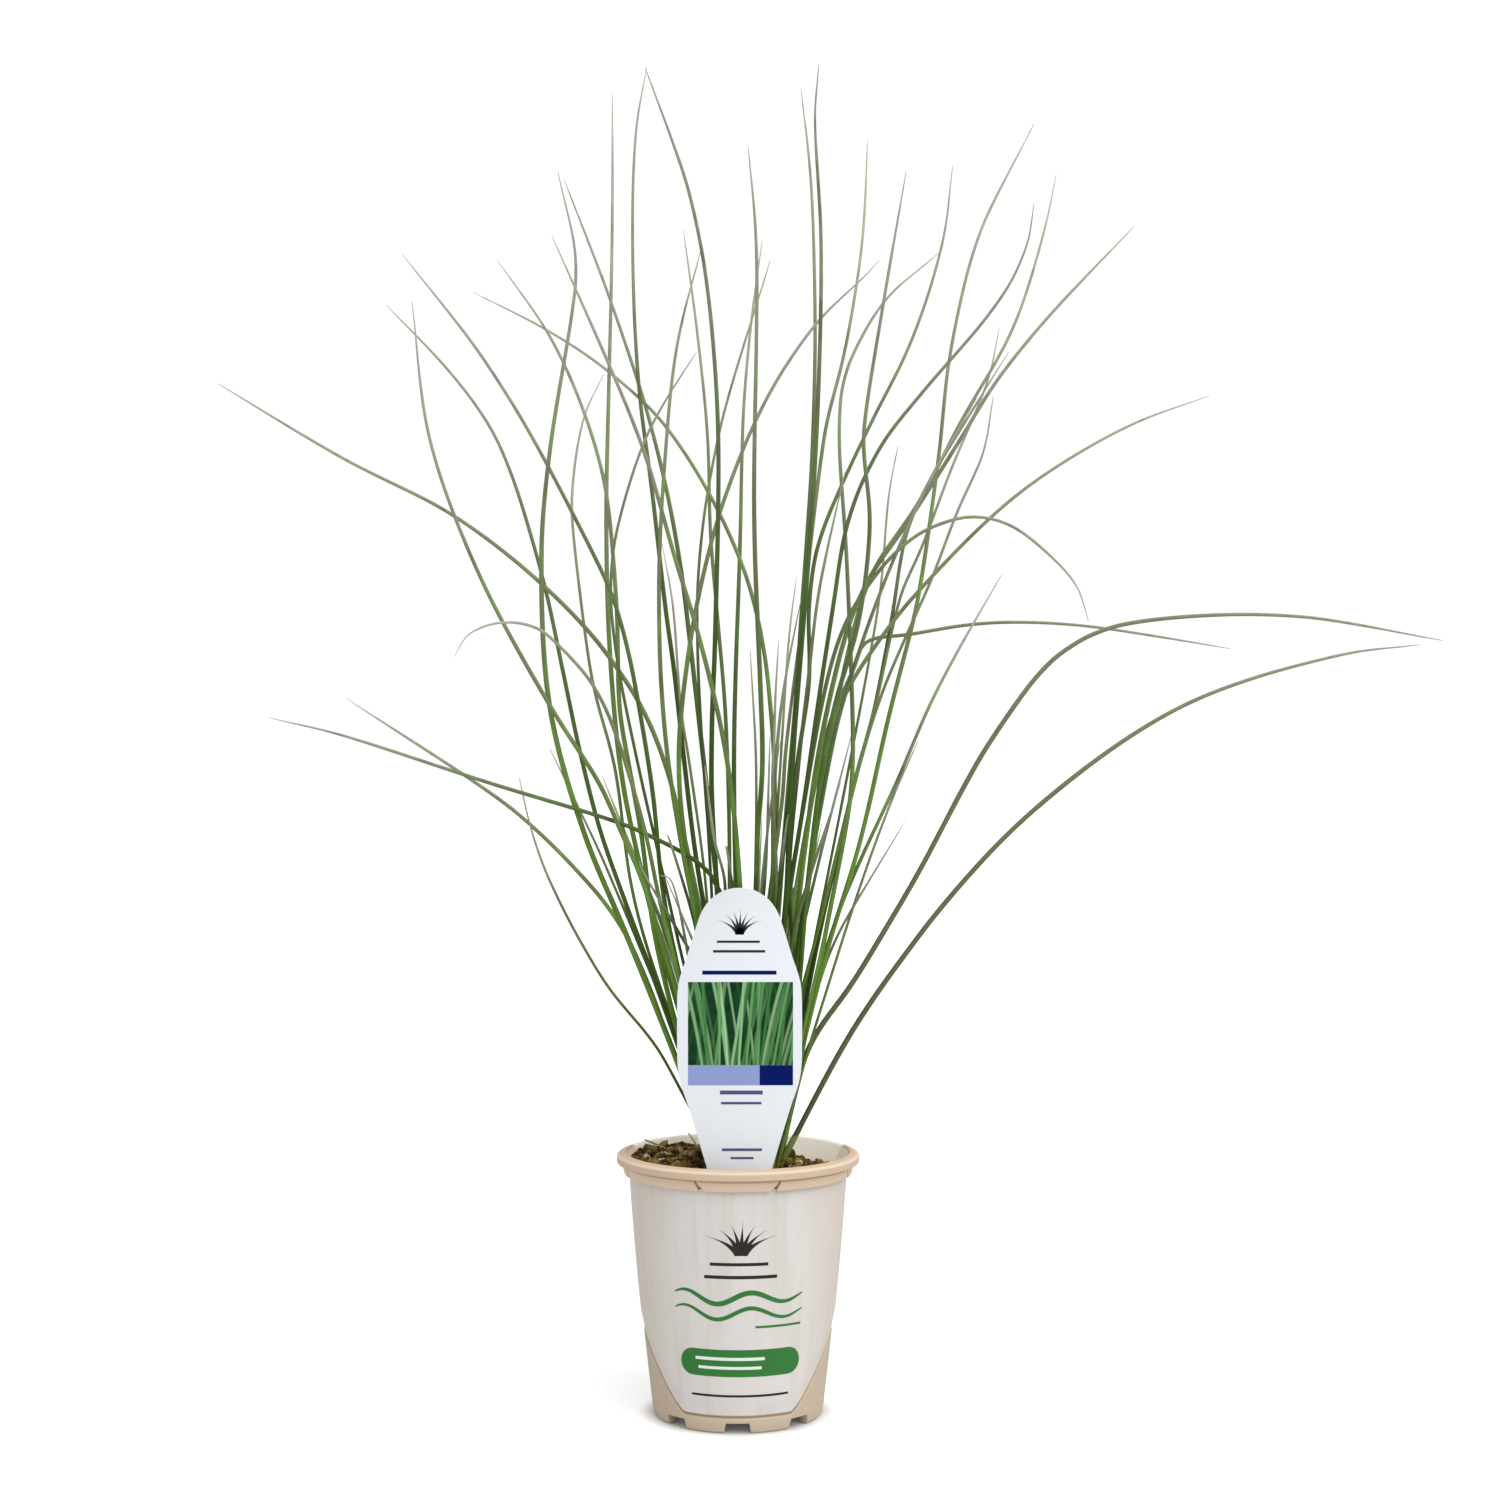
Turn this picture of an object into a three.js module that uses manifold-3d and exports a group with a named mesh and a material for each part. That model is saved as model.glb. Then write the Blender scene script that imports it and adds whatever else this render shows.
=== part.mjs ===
import * as THREE from 'three';
import { mergeVertices } from 'three/addons/utils/BufferGeometryUtils.js';
import Module from 'manifold-3d';

const wasm = await Module();
wasm.setup();

// Potted soft rush: a loose clump of leafless green culms in a small moulded fibre pot,
// with a white plant tag pushed into the soil at the front.
// Millimetres, +Z up, the pot's foot on z = 0 and the tag facing -Y.
// Everything is drawn about the pot's axis, and the whole is then moved so that
// the middle of its box stands on the origin.

// Shared values
const gap = 0.3;
const sectors = 48;
const fullTurn = 2 * Math.PI;
const degree = Math.PI / 180;

// Pot
const footInner = 36;
const footOuter = 40.4;
const footCorner = 1.1;
const floorUnder = 4.4;
const floorThick = 2;
const wallFoot = { radius: 42.2, z: 4.4 };
const wallHead = { radius: 53.1, z: 119.6 };
const wallThick = 2;
const wallBulge = 0.9;
const wallRows = [18, 37, 56, 78, 100];
const flareBottom = 116;
const skirtBottom = 117.7;
const skirtInner = 54.3;
const skirtOuter = 55.9;
const skirtHead = 57.4;
const lipBottom = 123.4;
const lipTop = 127.2;
const lipRadius = 59.7;
const lipRound = 0.7;
const rimCrest = { radius: 55.4, z: 128.6 };
const rimInside = { radius: 54.5, z: 127.8 };

// Skirt slots, foot notches and drain holes
const slotAngle = 18.8 * degree;
const slotHead = [2.1, 2.9];
const slotFoot = [-2.5, 0.6];
const slotDeep = 6;
const notchCount = 8;
const notchHeight = 5.3;
const notchDeep = 14;
const notchTop = 11.2;
const notchBottom = 13.4;
const drainCount = 4;
const drainRadius = 4.5;
const drainCircle = 23;

// Label sleeve
const sleeveThick = 0.6;
const sleeveTop = 118.6;
const sleeveLow = 8.8;
const sleeveArch = 34;
const sleeveCorner = 37.5 * degree;

// Soil
const soilLeft = 125.2;
const soilRight = 117.4;
const soilShoulder = 115.4;
const soilRings = 8;
const soilSectors = 24;
const soilRelief = 0.9;
const soilMound = { x: 23, y: 12, high: 5, spread: 6 };

// Plant tag
const tagCentre = 0.9;
const tagDepth = -35;
const tagThick = 0.8;
const tagHalf = 29.9;
const tagTop = 260;
const tagPoint = 66;
// Right edge of the tag as [half width, height], from its point up to its crown
const tagEdge = [
  [1.6, 66], [16, 127], [24.8, 156], [28.2, 166], [29.6, 174], [29.9, 183], [29.9, 205],
  [29.4, 213], [28, 219], [25.4, 226.6], [20.6, 242], [18.4, 248], [15.2, 253], [11.2, 256.6],
  [6.2, 259.1],
];
const tagClear = 2.6;
const tagSlotWidth = 34;

// Crown, tufts and culms
const crown = { x: 5, y: 2, halfWidth: 17, halfDepth: 25 };
const tuftCount = 26;
const culmsInTuft = 3;
const knotRadius = 2.6;
const knotSides = 7;
const knotDeep = 11;
const knotProud = 1.8;
const rootSunk = 2.4;
const rootSpread = 1;
const culmSides = 4;
const tipRadius = 0.5;
const taper = 1.7;
const tipLength = 6;
const chordError = 0.45;
const longestChord = 70;
const culmGap = 0.7;
const clearRounds = 200;

// A culm's route is given as it is seen from the front, by an eye 1.2 m from the axis.
// Its depth says how far its tip leans away from the eye, or towards it where it is negative.
const eye = { x: 6, z: 326, distance: 1200 };
const depthBend = { least: 1.35, most: 2.1, seed: 52 };
const leanHeight = 333;
const leanReach = 6;

// Culms: thickness at the root, depth of the tip, then the route as [across, up], tip first
const leftCulms = [
  [2.5, 30, [-257, 507], [-195, 470], [-141, 442], [-97, 408], [-63, 371], [-38, 325]],
  [2.35, -70, [-161, 548], [-152, 479], [-127, 411], [-94, 350], [-59, 291]],
  [2.35, 95, [-174, 546], [-141, 511], [-119, 479], [-98, 417], [-86, 363], [-70, 293], [-43, 217]],
  [2.35, -40, [-166, 571], [-132, 528], [-106, 488], [-82, 443], [-60, 396], [-43, 311], [-36, 250]],
  [2.8, -95, [-89, 612], [-80, 566], [-86, 517], [-94, 465], [-97, 420], [-93, 348], [-77, 288], [-51, 225]],
  [2.7, 150, [-86, 608], [-63, 548], [-47, 500], [-35, 453], [-27, 407], [-21, 355], [-15, 303]],
  [2.5, -150, [-92, 580], [-64, 517], [-46, 472], [-30, 417], [-18, 377], [-4, 311]],
  [2.6, 60, [-62, 650], [-62, 592], [-63, 530], [-65, 450], [-63, 370], [-57, 311], [-45, 255], [-37, 225]],
  [2.5, 120, [-45, 663], [-50, 634], [-52, 590], [-50, 520], [-43, 459], [-39, 421], [-31, 361]],
  [2.5, -190, [-46, 663], [-36, 636], [-25, 604], [-16, 560], [-10, 488], [-11, 391], [-13, 318]],
  [2.15, 125, [-27, 583], [-20, 531], [-15, 480], [-14, 440], [-9, 378], [-6, 340]],
  [2.35, -110, [-18, 574], [-30, 526], [-36, 470], [-39, 403], [-35, 325]],
  [2.35, 85, [-131, 552], [-94, 533], [-63, 512], [-33, 482], [-5, 434], [9, 394], [17, 331]],
  [2.5, -20, [-119, 568], [-94, 532], [-78, 498], [-66, 458], [-60, 397], [-58, 343], [-48, 286], [-40, 229]],
  [1.7, 40, [-66, 512], [-76, 490], [-82, 448], [-79, 415], [-72, 361], [-61, 318], [-52, 256], [-38, 208]],
  [1.6, -60, [-20, 523], [-33, 503], [-45, 481], [-56, 449], [-62, 420], [-61, 380]],
  [2.15, -130, [-140, 372], [-133, 383], [-116, 389], [-99, 386], [-88, 377], [-71, 357], [-56, 321]],
  [2.35, 55, [-194, 352], [-170, 336], [-113, 298], [-80, 267], [-59, 241], [-45, 212], [-33, 180]],
  [2.35, -35, [-232, 342], [-198, 334], [-142, 316], [-83, 297], [-53, 287], [-32, 278], [-17, 268], [-5, 250]],
  [1.5, -20, [-108, 313], [-104, 294], [-94, 264], [-66, 212], [-40, 179], [-25, 152]],
  [1.5, 70, [-93, 327], [-76, 292], [-65, 268]],
  [1.5, 30, [-38, 430], [-33, 404], [-30, 371], [-27, 335]],
];
const middleCulms = [
  [2.5, -215, [5, 624], [9, 574], [8, 439], [12, 320]],
  [2.6, 225, [12, 578], [7, 541], [3, 498], [1, 427], [-2, 311]],
  [1.6, 45, [16, 568], [6, 535], [-8, 488], [-18, 431], [-20, 380]],
  [2.5, -75, [70, 568], [58, 555], [40, 538], [15, 501], [-7, 449], [-19, 404], [-25, 369], [-29, 311]],
  [1.5, 90, [6, 376], [9, 311]],
  [1.5, -120, [20, 380], [18, 340]],
  [1.5, 160, [29, 412], [26, 390], [23, 351], [21, 320]],
  [2.25, -30, [31, 400], [25, 370], [21, 345], [18, 310], [16, 270]],
];
const rightCulms = [
  [2.7, 110, [31, 653], [36, 606], [38, 532], [37, 480], [33, 415], [28, 350]],
  [2.7, -165, [40, 665], [38, 640], [41, 574], [39, 488], [35, 425], [29, 350]],
  [2.5, 190, [64, 628], [61, 574], [51, 515], [44, 488], [39, 455], [33, 400]],
  [2.5, -120, [83, 612], [79, 588], [71, 542], [62, 480], [64, 455], [65, 437], [60, 392], [46, 340]],
  [2.35, 70, [106, 615], [101, 577], [86, 529], [66, 488], [50, 454], [39, 425], [35, 395], [35, 360], [28, 309]],
  [2.35, -55, [100, 572], [72, 547], [53, 511], [50, 480], [52, 450], [55, 385], [56, 309], [47, 256], [33, 184]],
  [2.35, 40, [146, 635], [119, 580], [105, 523], [99, 471], [88, 397], [75, 345], [60, 280], [47, 238]],
  [2.35, -100, [146, 596], [143, 577], [131, 551], [89, 500], [70, 475], [55, 441], [46, 391]],
  [2.35, 120, [157, 610], [152, 586], [136, 535], [110, 488], [89, 448], [63, 405]],
  [2.7, -20, [196, 585], [157, 544], [129, 510], [107, 475], [84, 439], [57, 394]],
  [2.35, 75, [233, 501], [193, 486], [150, 461], [125, 441], [101, 417], [74, 386], [46, 337]],
  [2.25, -80, [173, 389], [168, 405], [159, 417], [134, 437], [115, 441], [96, 436], [83, 428], [64, 407], [48, 375]],
  [2.25, 150, [243, 376], [173, 387], [140, 389], [116, 388], [84, 383], [63, 379], [57, 366], [44, 335]],
  [2.7, -10, [348, 380], [275, 392], [212, 391], [180, 385], [156, 371], [125, 331], [87, 262], [57, 212], [35, 179]],
  [2.7, 35, [337, 378], [298, 373], [220, 348], [149, 299], [100, 248], [56, 187], [26, 146], [22, 134]],
  [2.15, 60, [131, 414], [113, 383], [96, 351], [80, 314], [54, 257], [45, 232]],
  [1.4, -70, [89, 331], [75, 299], [57, 249]],
  [1.4, 20, [83, 292], [72, 273], [45, 225]],
  [1.5, -150, [126, 501], [121, 473], [108, 443], [97, 414], [82, 380], [70, 351], [55, 300], [49, 265]],
  [1.7, 100, [129, 535], [124, 511], [105, 464], [89, 422], [81, 404], [67, 345], [57, 309]],
  [1.5, 170, [79, 476], [75, 456], [70, 403], [60, 345]],
  [2.15, -45, [53, 464], [49, 447], [41, 410], [37, 384], [34, 355], [29, 310]],
  [2.35, 95, [134, 523], [110, 484], [93, 456], [83, 432], [76, 392], [67, 345], [58, 312]],
  [2.25, -60, [118, 500], [96, 462], [83, 434], [71, 406], [55, 360], [47, 330]],
  [2.25, 60, [37, 430], [31, 385], [27, 350], [22, 300]],
];

// Short culms among them, which fill the fan between its left and right edges by a rule
const shortCulms = {
  seed: 20911,
  fromZ: 205,
  toZ: 355,
  fromDepth: 30,
  toDepth: 130,
  thin: 1.6,
  thick: 2.5,
  bow: 5,
};
const fanLeft = { root: -7, slope: -0.33 };
const fanRight = { root: 18, slope: 0.2 };

// Colours
const fibreColour = '#cdb596';
const sleeveColour = '#dedad6';
const soilColour = '#3b2c19';
const tagColour = '#e8ecf2';
const culmLight = new THREE.Color('#5d8a33');
const culmDeep = new THREE.Color('#41602a');

// Returns a repeatable draw between 0 and 1 at each call
function seededDraw(seed) {
  let state = seed;
  return () => {
    state = (state + 0x6d2b79f5) | 0;
    let mixed = Math.imul(state ^ (state >>> 15), 1 | state);
    mixed = (mixed + Math.imul(mixed ^ (mixed >>> 7), 61 | mixed)) ^ mixed;
    return ((mixed ^ (mixed >>> 14)) >>> 0) / 4294967296;
  };
}

// Turns a closed geometry into a solid that can be joined and cut
function solidOf(geometry) {
  geometry.deleteAttribute('normal');
  geometry.deleteAttribute('uv');
  const merged = mergeVertices(geometry, 1e-5);
  return new wasm.Manifold(new wasm.Mesh({
    numProp: 3,
    vertProperties: Float32Array.from(merged.attributes.position.array),
    triVerts: Uint32Array.from(merged.index.array),
  }));
}

function geometryOf(solid) {
  const mesh = solid.getMesh();
  const geometry = new THREE.BufferGeometry();
  geometry.setAttribute('position', new THREE.BufferAttribute(Float32Array.from(mesh.vertProperties), 3));
  geometry.setIndex(new THREE.BufferAttribute(Uint32Array.from(mesh.triVerts), 1));
  geometry.computeVertexNormals();
  return geometry;
}

function geometryFrom(points, faces) {
  const geometry = new THREE.BufferGeometry();
  geometry.setAttribute('position', new THREE.Float32BufferAttribute(points.flat(), 3));
  geometry.setIndex(faces.flat());
  return geometry;
}

// A ring round the pot's axis, whose section at each angle is a closed loop of [radius, z].
// Angle 0 is the front, and angles grow towards +X.
function ringSolid(section) {
  const points = [];
  const faces = [];
  const size = section(0).length;
  for (let turn = 0; turn < sectors; turn += 1) {
    const angle = (turn / sectors) * fullTurn;
    for (const [radius, z] of section(angle)) {
      points.push([radius * Math.sin(angle), -radius * Math.cos(angle), z]);
    }
    const here = turn * size;
    const next = ((turn + 1) % sectors) * size;
    for (let corner = 0; corner < size; corner += 1) {
      const after = (corner + 1) % size;
      faces.push([here + corner, next + corner, next + after]);
      faces.push([here + corner, next + after, here + after]);
    }
  }
  return solidOf(geometryFrom(points, faces));
}

// Pot

function wallRadius(z) {
  const share = (z - wallFoot.z) / (wallHead.z - wallFoot.z);
  return THREE.MathUtils.lerp(wallFoot.radius, wallHead.radius, share);
}

// The wall's outer face swells a little between its foot and its head
function outerRadius(z) {
  const share = THREE.MathUtils.clamp((z - wallFoot.z) / (wallHead.z - wallFoot.z), 0, 1);
  return wallRadius(z) + wallBulge * Math.sin(share * Math.PI);
}

// The inner face is straight and flares out under the rim
function innerRadius(z) {
  const wall = wallRadius(Math.min(z, flareBottom)) - wallThick;
  const flare = (rimInside.radius - wall) / (rimInside.z - flareBottom);
  return wall + flare * Math.max(0, z - flareBottom);
}

function potBlank() {
  const floorTop = floorUnder + floorThick;
  const profile = [
    [0, floorUnder],
    [footInner - 1.4, floorUnder],
    [footInner, 0],
    [footOuter, 0],
    [footOuter + footCorner, footCorner],
    [wallFoot.radius, wallFoot.z],
    ...wallRows.map((z) => [outerRadius(z), z]),
    [wallHead.radius, wallHead.z],
    [skirtInner, wallHead.z + 0.8],
    [skirtInner, skirtBottom],
    [skirtOuter, skirtBottom],
    [skirtHead, lipBottom],
    [lipRadius - lipRound, lipBottom],
    [lipRadius, lipBottom + lipRound],
    [lipRadius, lipTop - lipRound],
    [lipRadius - lipRound, lipTop],
    [rimCrest.radius + 1.2, rimCrest.z - 0.2],
    [rimCrest.radius, rimCrest.z],
    [rimInside.radius, rimInside.z],
    [innerRadius(flareBottom), flareBottom],
    [wallRadius(floorTop) - wallThick, floorTop + 1.6],
    [wallRadius(floorTop) - wallThick - 1.6, floorTop],
    [0, floorTop],
  ];
  const points = profile.map(([radius, z]) => new THREE.Vector2(radius, z));
  const blank = new THREE.LatheGeometry(points, sectors);
  blank.rotateX(Math.PI / 2);
  return solidOf(blank);
}

// A slot through the skirt on each side of its four narrow segments, a wedge that is wider at its foot
function skirtSlots() {
  const height = lipBottom - skirtBottom;
  const slots = [];
  for (let quarter = 0; quarter < 4; quarter += 1) {
    for (const side of [-1, 1]) {
      const outline = new THREE.Shape();
      outline.moveTo(side * slotHead[0], skirtBottom + height);
      outline.lineTo(side * slotHead[1], skirtBottom + height);
      outline.lineTo(side * (slotFoot[1] - (slotHead[1] - slotFoot[1]) / height), skirtBottom - 1);
      outline.lineTo(side * (slotFoot[0] - (slotHead[0] - slotFoot[0]) / height), skirtBottom - 1);
      const slot = new THREE.ExtrudeGeometry(outline, { depth: slotDeep, bevelEnabled: false });
      slot.rotateX(Math.PI / 2);
      slot.translate(0, gap - skirtInner, 0);
      slot.rotateZ(quarter * Math.PI / 2 + side * slotAngle);
      slots.push(solidOf(slot));
    }
  }
  return wasm.Manifold.union(slots);
}

function footNotches() {
  const outline = new THREE.Shape();
  outline.moveTo(-notchBottom / 2, -1);
  outline.lineTo(notchBottom / 2, -1);
  outline.lineTo(notchTop / 2, notchHeight);
  outline.lineTo(-notchTop / 2, notchHeight);
  outline.closePath();
  const notches = [];
  for (let place = 0; place < notchCount; place += 1) {
    const notch = new THREE.ExtrudeGeometry(outline, { depth: notchDeep, bevelEnabled: false });
    notch.rotateX(Math.PI / 2);
    notch.translate(0, 1.6 - footInner, 0);
    notch.rotateZ(place * fullTurn / notchCount);
    notches.push(solidOf(notch));
  }
  return wasm.Manifold.union(notches);
}

function uprightCylinder(x, y, fromZ, toZ, radius, sides) {
  const cylinder = new THREE.CylinderGeometry(radius, radius, toZ - fromZ, sides);
  cylinder.rotateX(Math.PI / 2);
  cylinder.translate(x, y, (fromZ + toZ) / 2);
  return solidOf(cylinder);
}

function drainHoles() {
  const holes = [uprightCylinder(0, 0, 0, 20, drainRadius, 16)];
  for (let place = 0; place < drainCount; place += 1) {
    const angle = (place + 0.5) * fullTurn / drainCount;
    const x = drainCircle * Math.cos(angle);
    const y = drainCircle * Math.sin(angle);
    holes.push(uprightCylinder(x, y, 0, 20, drainRadius, 16));
  }
  return wasm.Manifold.union(holes);
}

// The sleeve's lower edge is level at the front and the back and arches up at both sides
function sleeveEdge(angle) {
  const fromFront = Math.abs(Math.atan2(Math.sin(angle), Math.cos(angle)));
  const fromNearest = Math.min(fromFront, Math.PI - fromFront);
  const share = Math.max(0, (fromNearest - sleeveCorner) / (Math.PI / 2 - sleeveCorner));
  return sleeveLow + sleeveArch * Math.sin(share * Math.PI / 2) ** 1.25;
}

function sleeveRing(deepest, proudest, spare) {
  return ringSolid((angle) => {
    const low = sleeveEdge(angle) - spare;
    const high = sleeveTop + spare;
    const heights = [0, 0.25, 0.5, 0.75, 1].map((share) => THREE.MathUtils.lerp(low, high, share));
    const outside = heights.map((z) => [outerRadius(z) + proudest, z]);
    const inside = heights.map((z) => [outerRadius(z) - deepest, z]);
    return [...outside, ...inside.reverse()];
  });
}

function pot() {
  const recess = sleeveRing(sleeveThick + gap, 0.6, gap);
  return potBlank()
    .subtract(skirtSlots())
    .subtract(footNotches())
    .subtract(drainHoles())
    .subtract(recess);
}

function labelSleeve() {
  return sleeveRing(sleeveThick, 0, 0);
}

// Soil

// Height of the crumbly surface, which falls from the left to the right, with a clump beside the crown
function soilHeight(x, y) {
  const slope = THREE.MathUtils.smoothstep(x, -46, 34);
  const level = THREE.MathUtils.lerp(soilLeft, soilRight, slope);
  const lumps = Math.sin(0.31 * x + 1.1) * Math.sin(0.27 * y - 0.4) + 0.6 * Math.sin(0.73 * x - 0.52 * y);
  const away = Math.hypot(x - soilMound.x, y - soilMound.y) / soilMound.spread;
  return level + soilRelief * lumps + soilMound.high * Math.exp(-away * away / 2);
}

// How far the soil reaches out on its way round, just short of the pot's inner face
function soilReach(angle) {
  const near = innerRadius(flareBottom);
  const height = soilHeight(near * Math.cos(angle), near * Math.sin(angle));
  return innerRadius(height) - 2 * gap;
}

function soilBlank() {
  const bottom = floorUnder + floorThick + gap;
  const bottomRadius = wallRadius(bottom) - wallThick - 1.6 - gap;
  const shoulderRadius = innerRadius(soilShoulder) - 2 * gap;
  const points = [[0, 0, soilHeight(0, 0)]];
  for (let ring = 1; ring <= soilRings; ring += 1) {
    for (let turn = 0; turn < soilSectors; turn += 1) {
      const angle = ((turn + (ring % 2) / 2) / soilSectors) * fullTurn;
      const radius = (soilReach(angle) * ring) / soilRings;
      const x = radius * Math.cos(angle);
      const y = radius * Math.sin(angle);
      points.push([x, y, soilHeight(x, y)]);
    }
  }
  const lastRing = 1 + (soilRings - 1) * soilSectors;
  for (const [radius, z] of [[shoulderRadius, soilShoulder], [bottomRadius, bottom]]) {
    for (let turn = 0; turn < soilSectors; turn += 1) {
      const angle = ((turn + (soilRings % 2) / 2) / soilSectors) * fullTurn;
      points.push([radius * Math.cos(angle), radius * Math.sin(angle), z]);
    }
  }
  points.push([0, 0, bottom]);
  const bottomCentre = points.length - 1;
  const faces = [];
  for (let turn = 0; turn < soilSectors; turn += 1) {
    const next = (turn + 1) % soilSectors;
    faces.push([0, 1 + turn, 1 + next]);
    for (let ring = 0; ring < soilRings - 1; ring += 1) {
      const inner = 1 + ring * soilSectors;
      const outer = inner + soilSectors;
      if (ring % 2 === 0) {
        faces.push([inner + turn, outer + turn, inner + next]);
        faces.push([inner + next, outer + turn, outer + next]);
      } else {
        faces.push([inner + turn, outer + turn, outer + next]);
        faces.push([inner + turn, outer + next, inner + next]);
      }
    }
    for (const upper of [lastRing, lastRing + soilSectors]) {
      const lower = upper + soilSectors;
      faces.push([upper + turn, lower + turn, lower + next]);
      faces.push([upper + turn, lower + next, upper + next]);
    }
    const foot = lastRing + 2 * soilSectors;
    faces.push([bottomCentre, foot + next, foot + turn]);
  }
  return solidOf(geometryFrom(points, faces));
}

function tagSlot() {
  const slot = new THREE.BoxGeometry(tagSlotWidth, tagThick + 2 * gap, tagTop - tagPoint);
  slot.translate(tagCentre, tagDepth, (tagTop + tagPoint) / 2 - 1);
  return solidOf(slot);
}

function soil(tufts) {
  const holes = tufts.map((tuft) => (
    uprightCylinder(tuft.x, tuft.y, tuft.top - knotDeep - gap, tuft.top + 9, knotRadius + gap, knotSides)
  ));
  return soilBlank().subtract(wasm.Manifold.union(holes)).subtract(tagSlot());
}

// Plant tag

function plantTag() {
  const right = tagEdge.map(([half, z]) => new THREE.Vector2(half, z));
  const left = tagEdge.map(([half, z]) => new THREE.Vector2(-half, z)).reverse();
  const outline = new THREE.Shape([...right, new THREE.Vector2(0, tagTop), ...left]);
  const tag = new THREE.ExtrudeGeometry(outline, { depth: tagThick, bevelEnabled: false });
  tag.rotateX(Math.PI / 2);
  tag.translate(tagCentre, tagDepth + tagThick / 2, 0);
  return solidOf(tag);
}

// Tufts and culms

// Tuft places fill the crown evenly, each a golden angle on from the last
function tuftPlaces() {
  const goldenAngle = Math.PI * (3 - Math.sqrt(5));
  const places = [];
  for (let index = 0; index < tuftCount; index += 1) {
    const reach = Math.sqrt((index + 0.5) / tuftCount);
    const angle = index * goldenAngle;
    const x = crown.x + crown.halfWidth * reach * Math.cos(angle);
    const y = crown.y + crown.halfDepth * reach * Math.sin(angle);
    let highest = soilHeight(x, y);
    for (let look = 0; look < 8; look += 1) {
      const side = (look / 8) * fullTurn;
      highest = Math.max(highest, soilHeight(x + 4 * Math.cos(side), y + 4 * Math.sin(side)));
    }
    places.push({ x, y, top: highest + knotProud, culms: [] });
  }
  return places;
}

// The true place of a point that is seen at [x, z] and lies at this depth
function placeSeenAt(x, z, depth) {
  const scale = (eye.distance + depth) / eye.distance;
  return new THREE.Vector3(eye.x + (x - eye.x) * scale, depth, eye.z + (z - eye.z) * scale);
}

function shortRows(count) {
  const { lerp } = THREE.MathUtils;
  const draw = seededDraw(shortCulms.seed);
  const rows = [];
  for (let index = 0; index < count; index += 1) {
    const z = lerp(shortCulms.fromZ, shortCulms.toZ, draw());
    const rise = z - soilRight;
    const share = (index + draw()) / count;
    const x = lerp(fanLeft.root + fanLeft.slope * rise, fanRight.root + fanRight.slope * rise, share);
    const depth = lerp(shortCulms.fromDepth, shortCulms.toDepth, draw());
    const side = index % 2 === 0 ? 1 : -1;
    const thickness = lerp(shortCulms.thin, shortCulms.thick, draw());
    const bow = shortCulms.bow * (2 * draw() - 1);
    const middle = [(x + crown.x) / 2 + bow, (z + soilRight) / 2 + 8];
    rows.push([thickness, side * depth, [x, z], middle]);
  }
  return rows;
}

// A culm before it is rooted. Its lean is where it has got to at a third of a metre over the soil.
function culmOf([thickness, depth, ...route], bend) {
  const seen = route.slice().reverse();
  const low = seen[0];
  const share = leanHeight / (low[1] - soilRight);
  const lean = { x: (low[0] - crown.x) * share, y: depth * 0.4 };
  return { radius: thickness / 2, depth, bend, seen, lean };
}

// Each culm takes the free tuft nearest to the side that it leans to, the widest culms first
function shareOut(culms, tufts) {
  const reach = (culm) => Math.hypot(culm.lean.x / crown.halfWidth, culm.lean.y / crown.halfDepth);
  const ordered = culms.slice().sort((one, other) => reach(other) - reach(one));
  for (const culm of ordered) {
    const share = 1 / Math.max(reach(culm), leanReach);
    const x = crown.x + culm.lean.x * share;
    const y = crown.y + culm.lean.y * share;
    const free = tufts.filter((tuft) => tuft.culms.length < culmsInTuft);
    const near = (tuft) => Math.hypot(tuft.x - x, tuft.y - y);
    const chosen = free.reduce((best, tuft) => (near(tuft) < near(best) ? tuft : best));
    const angle = (chosen.culms.length / culmsInTuft) * fullTurn;
    culm.tuft = chosen;
    culm.root = new THREE.Vector3(
      chosen.x + rootSpread * Math.cos(angle),
      chosen.y + rootSpread * Math.sin(angle),
      chosen.top - rootSunk,
    );
    chosen.culms.push(culm);
  }
}

// Keeps the fewest points of a fine line that stay within the chord error of it
function fewestChords(fine, from, to) {
  const chord = new THREE.Line3(fine[from], fine[to]);
  const foot = new THREE.Vector3();
  let worst = 0;
  let where = -1;
  for (let index = from + 1; index < to; index += 1) {
    chord.closestPointToPoint(fine[index], true, foot);
    const error = foot.distanceTo(fine[index]);
    if (error > worst) {
      worst = error;
      where = index;
    }
  }
  const length = chord.distance();
  if (worst <= chordError && length > longestChord) {
    where = Math.round((from + to) / 2);
  } else if (worst <= chordError) {
    return [fine[from]];
  }
  return [...fewestChords(fine, from, where), ...fewestChords(fine, where, to)];
}

// The culm's middle line from its root, with the start of its pointed tip and the tip itself
function middleLine(culm) {
  const lengths = [0];
  let previous = [culm.root.x, culm.root.z];
  for (const point of culm.seen) {
    lengths.push(lengths.at(-1) + Math.hypot(point[0] - previous[0], point[1] - previous[1]));
    previous = point;
  }
  const through = culm.seen.map(([x, z], index) => {
    const share = (lengths[index + 1] / lengths.at(-1)) ** culm.bend;
    return placeSeenAt(x, z, THREE.MathUtils.lerp(culm.root.y, culm.depth, share));
  });
  const curve = new THREE.CatmullRomCurve3([culm.root, ...through], false, 'centripetal');
  const fineSteps = 160;
  const fine = curve.getSpacedPoints(fineSteps);
  const tipStart = Math.floor(fineSteps * (1 - tipLength / curve.getLength()));
  const line = fewestChords(fine, 0, tipStart);
  return [...line, fine[tipStart], fine[fineSteps]].map((point) => point.clone());
}

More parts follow.
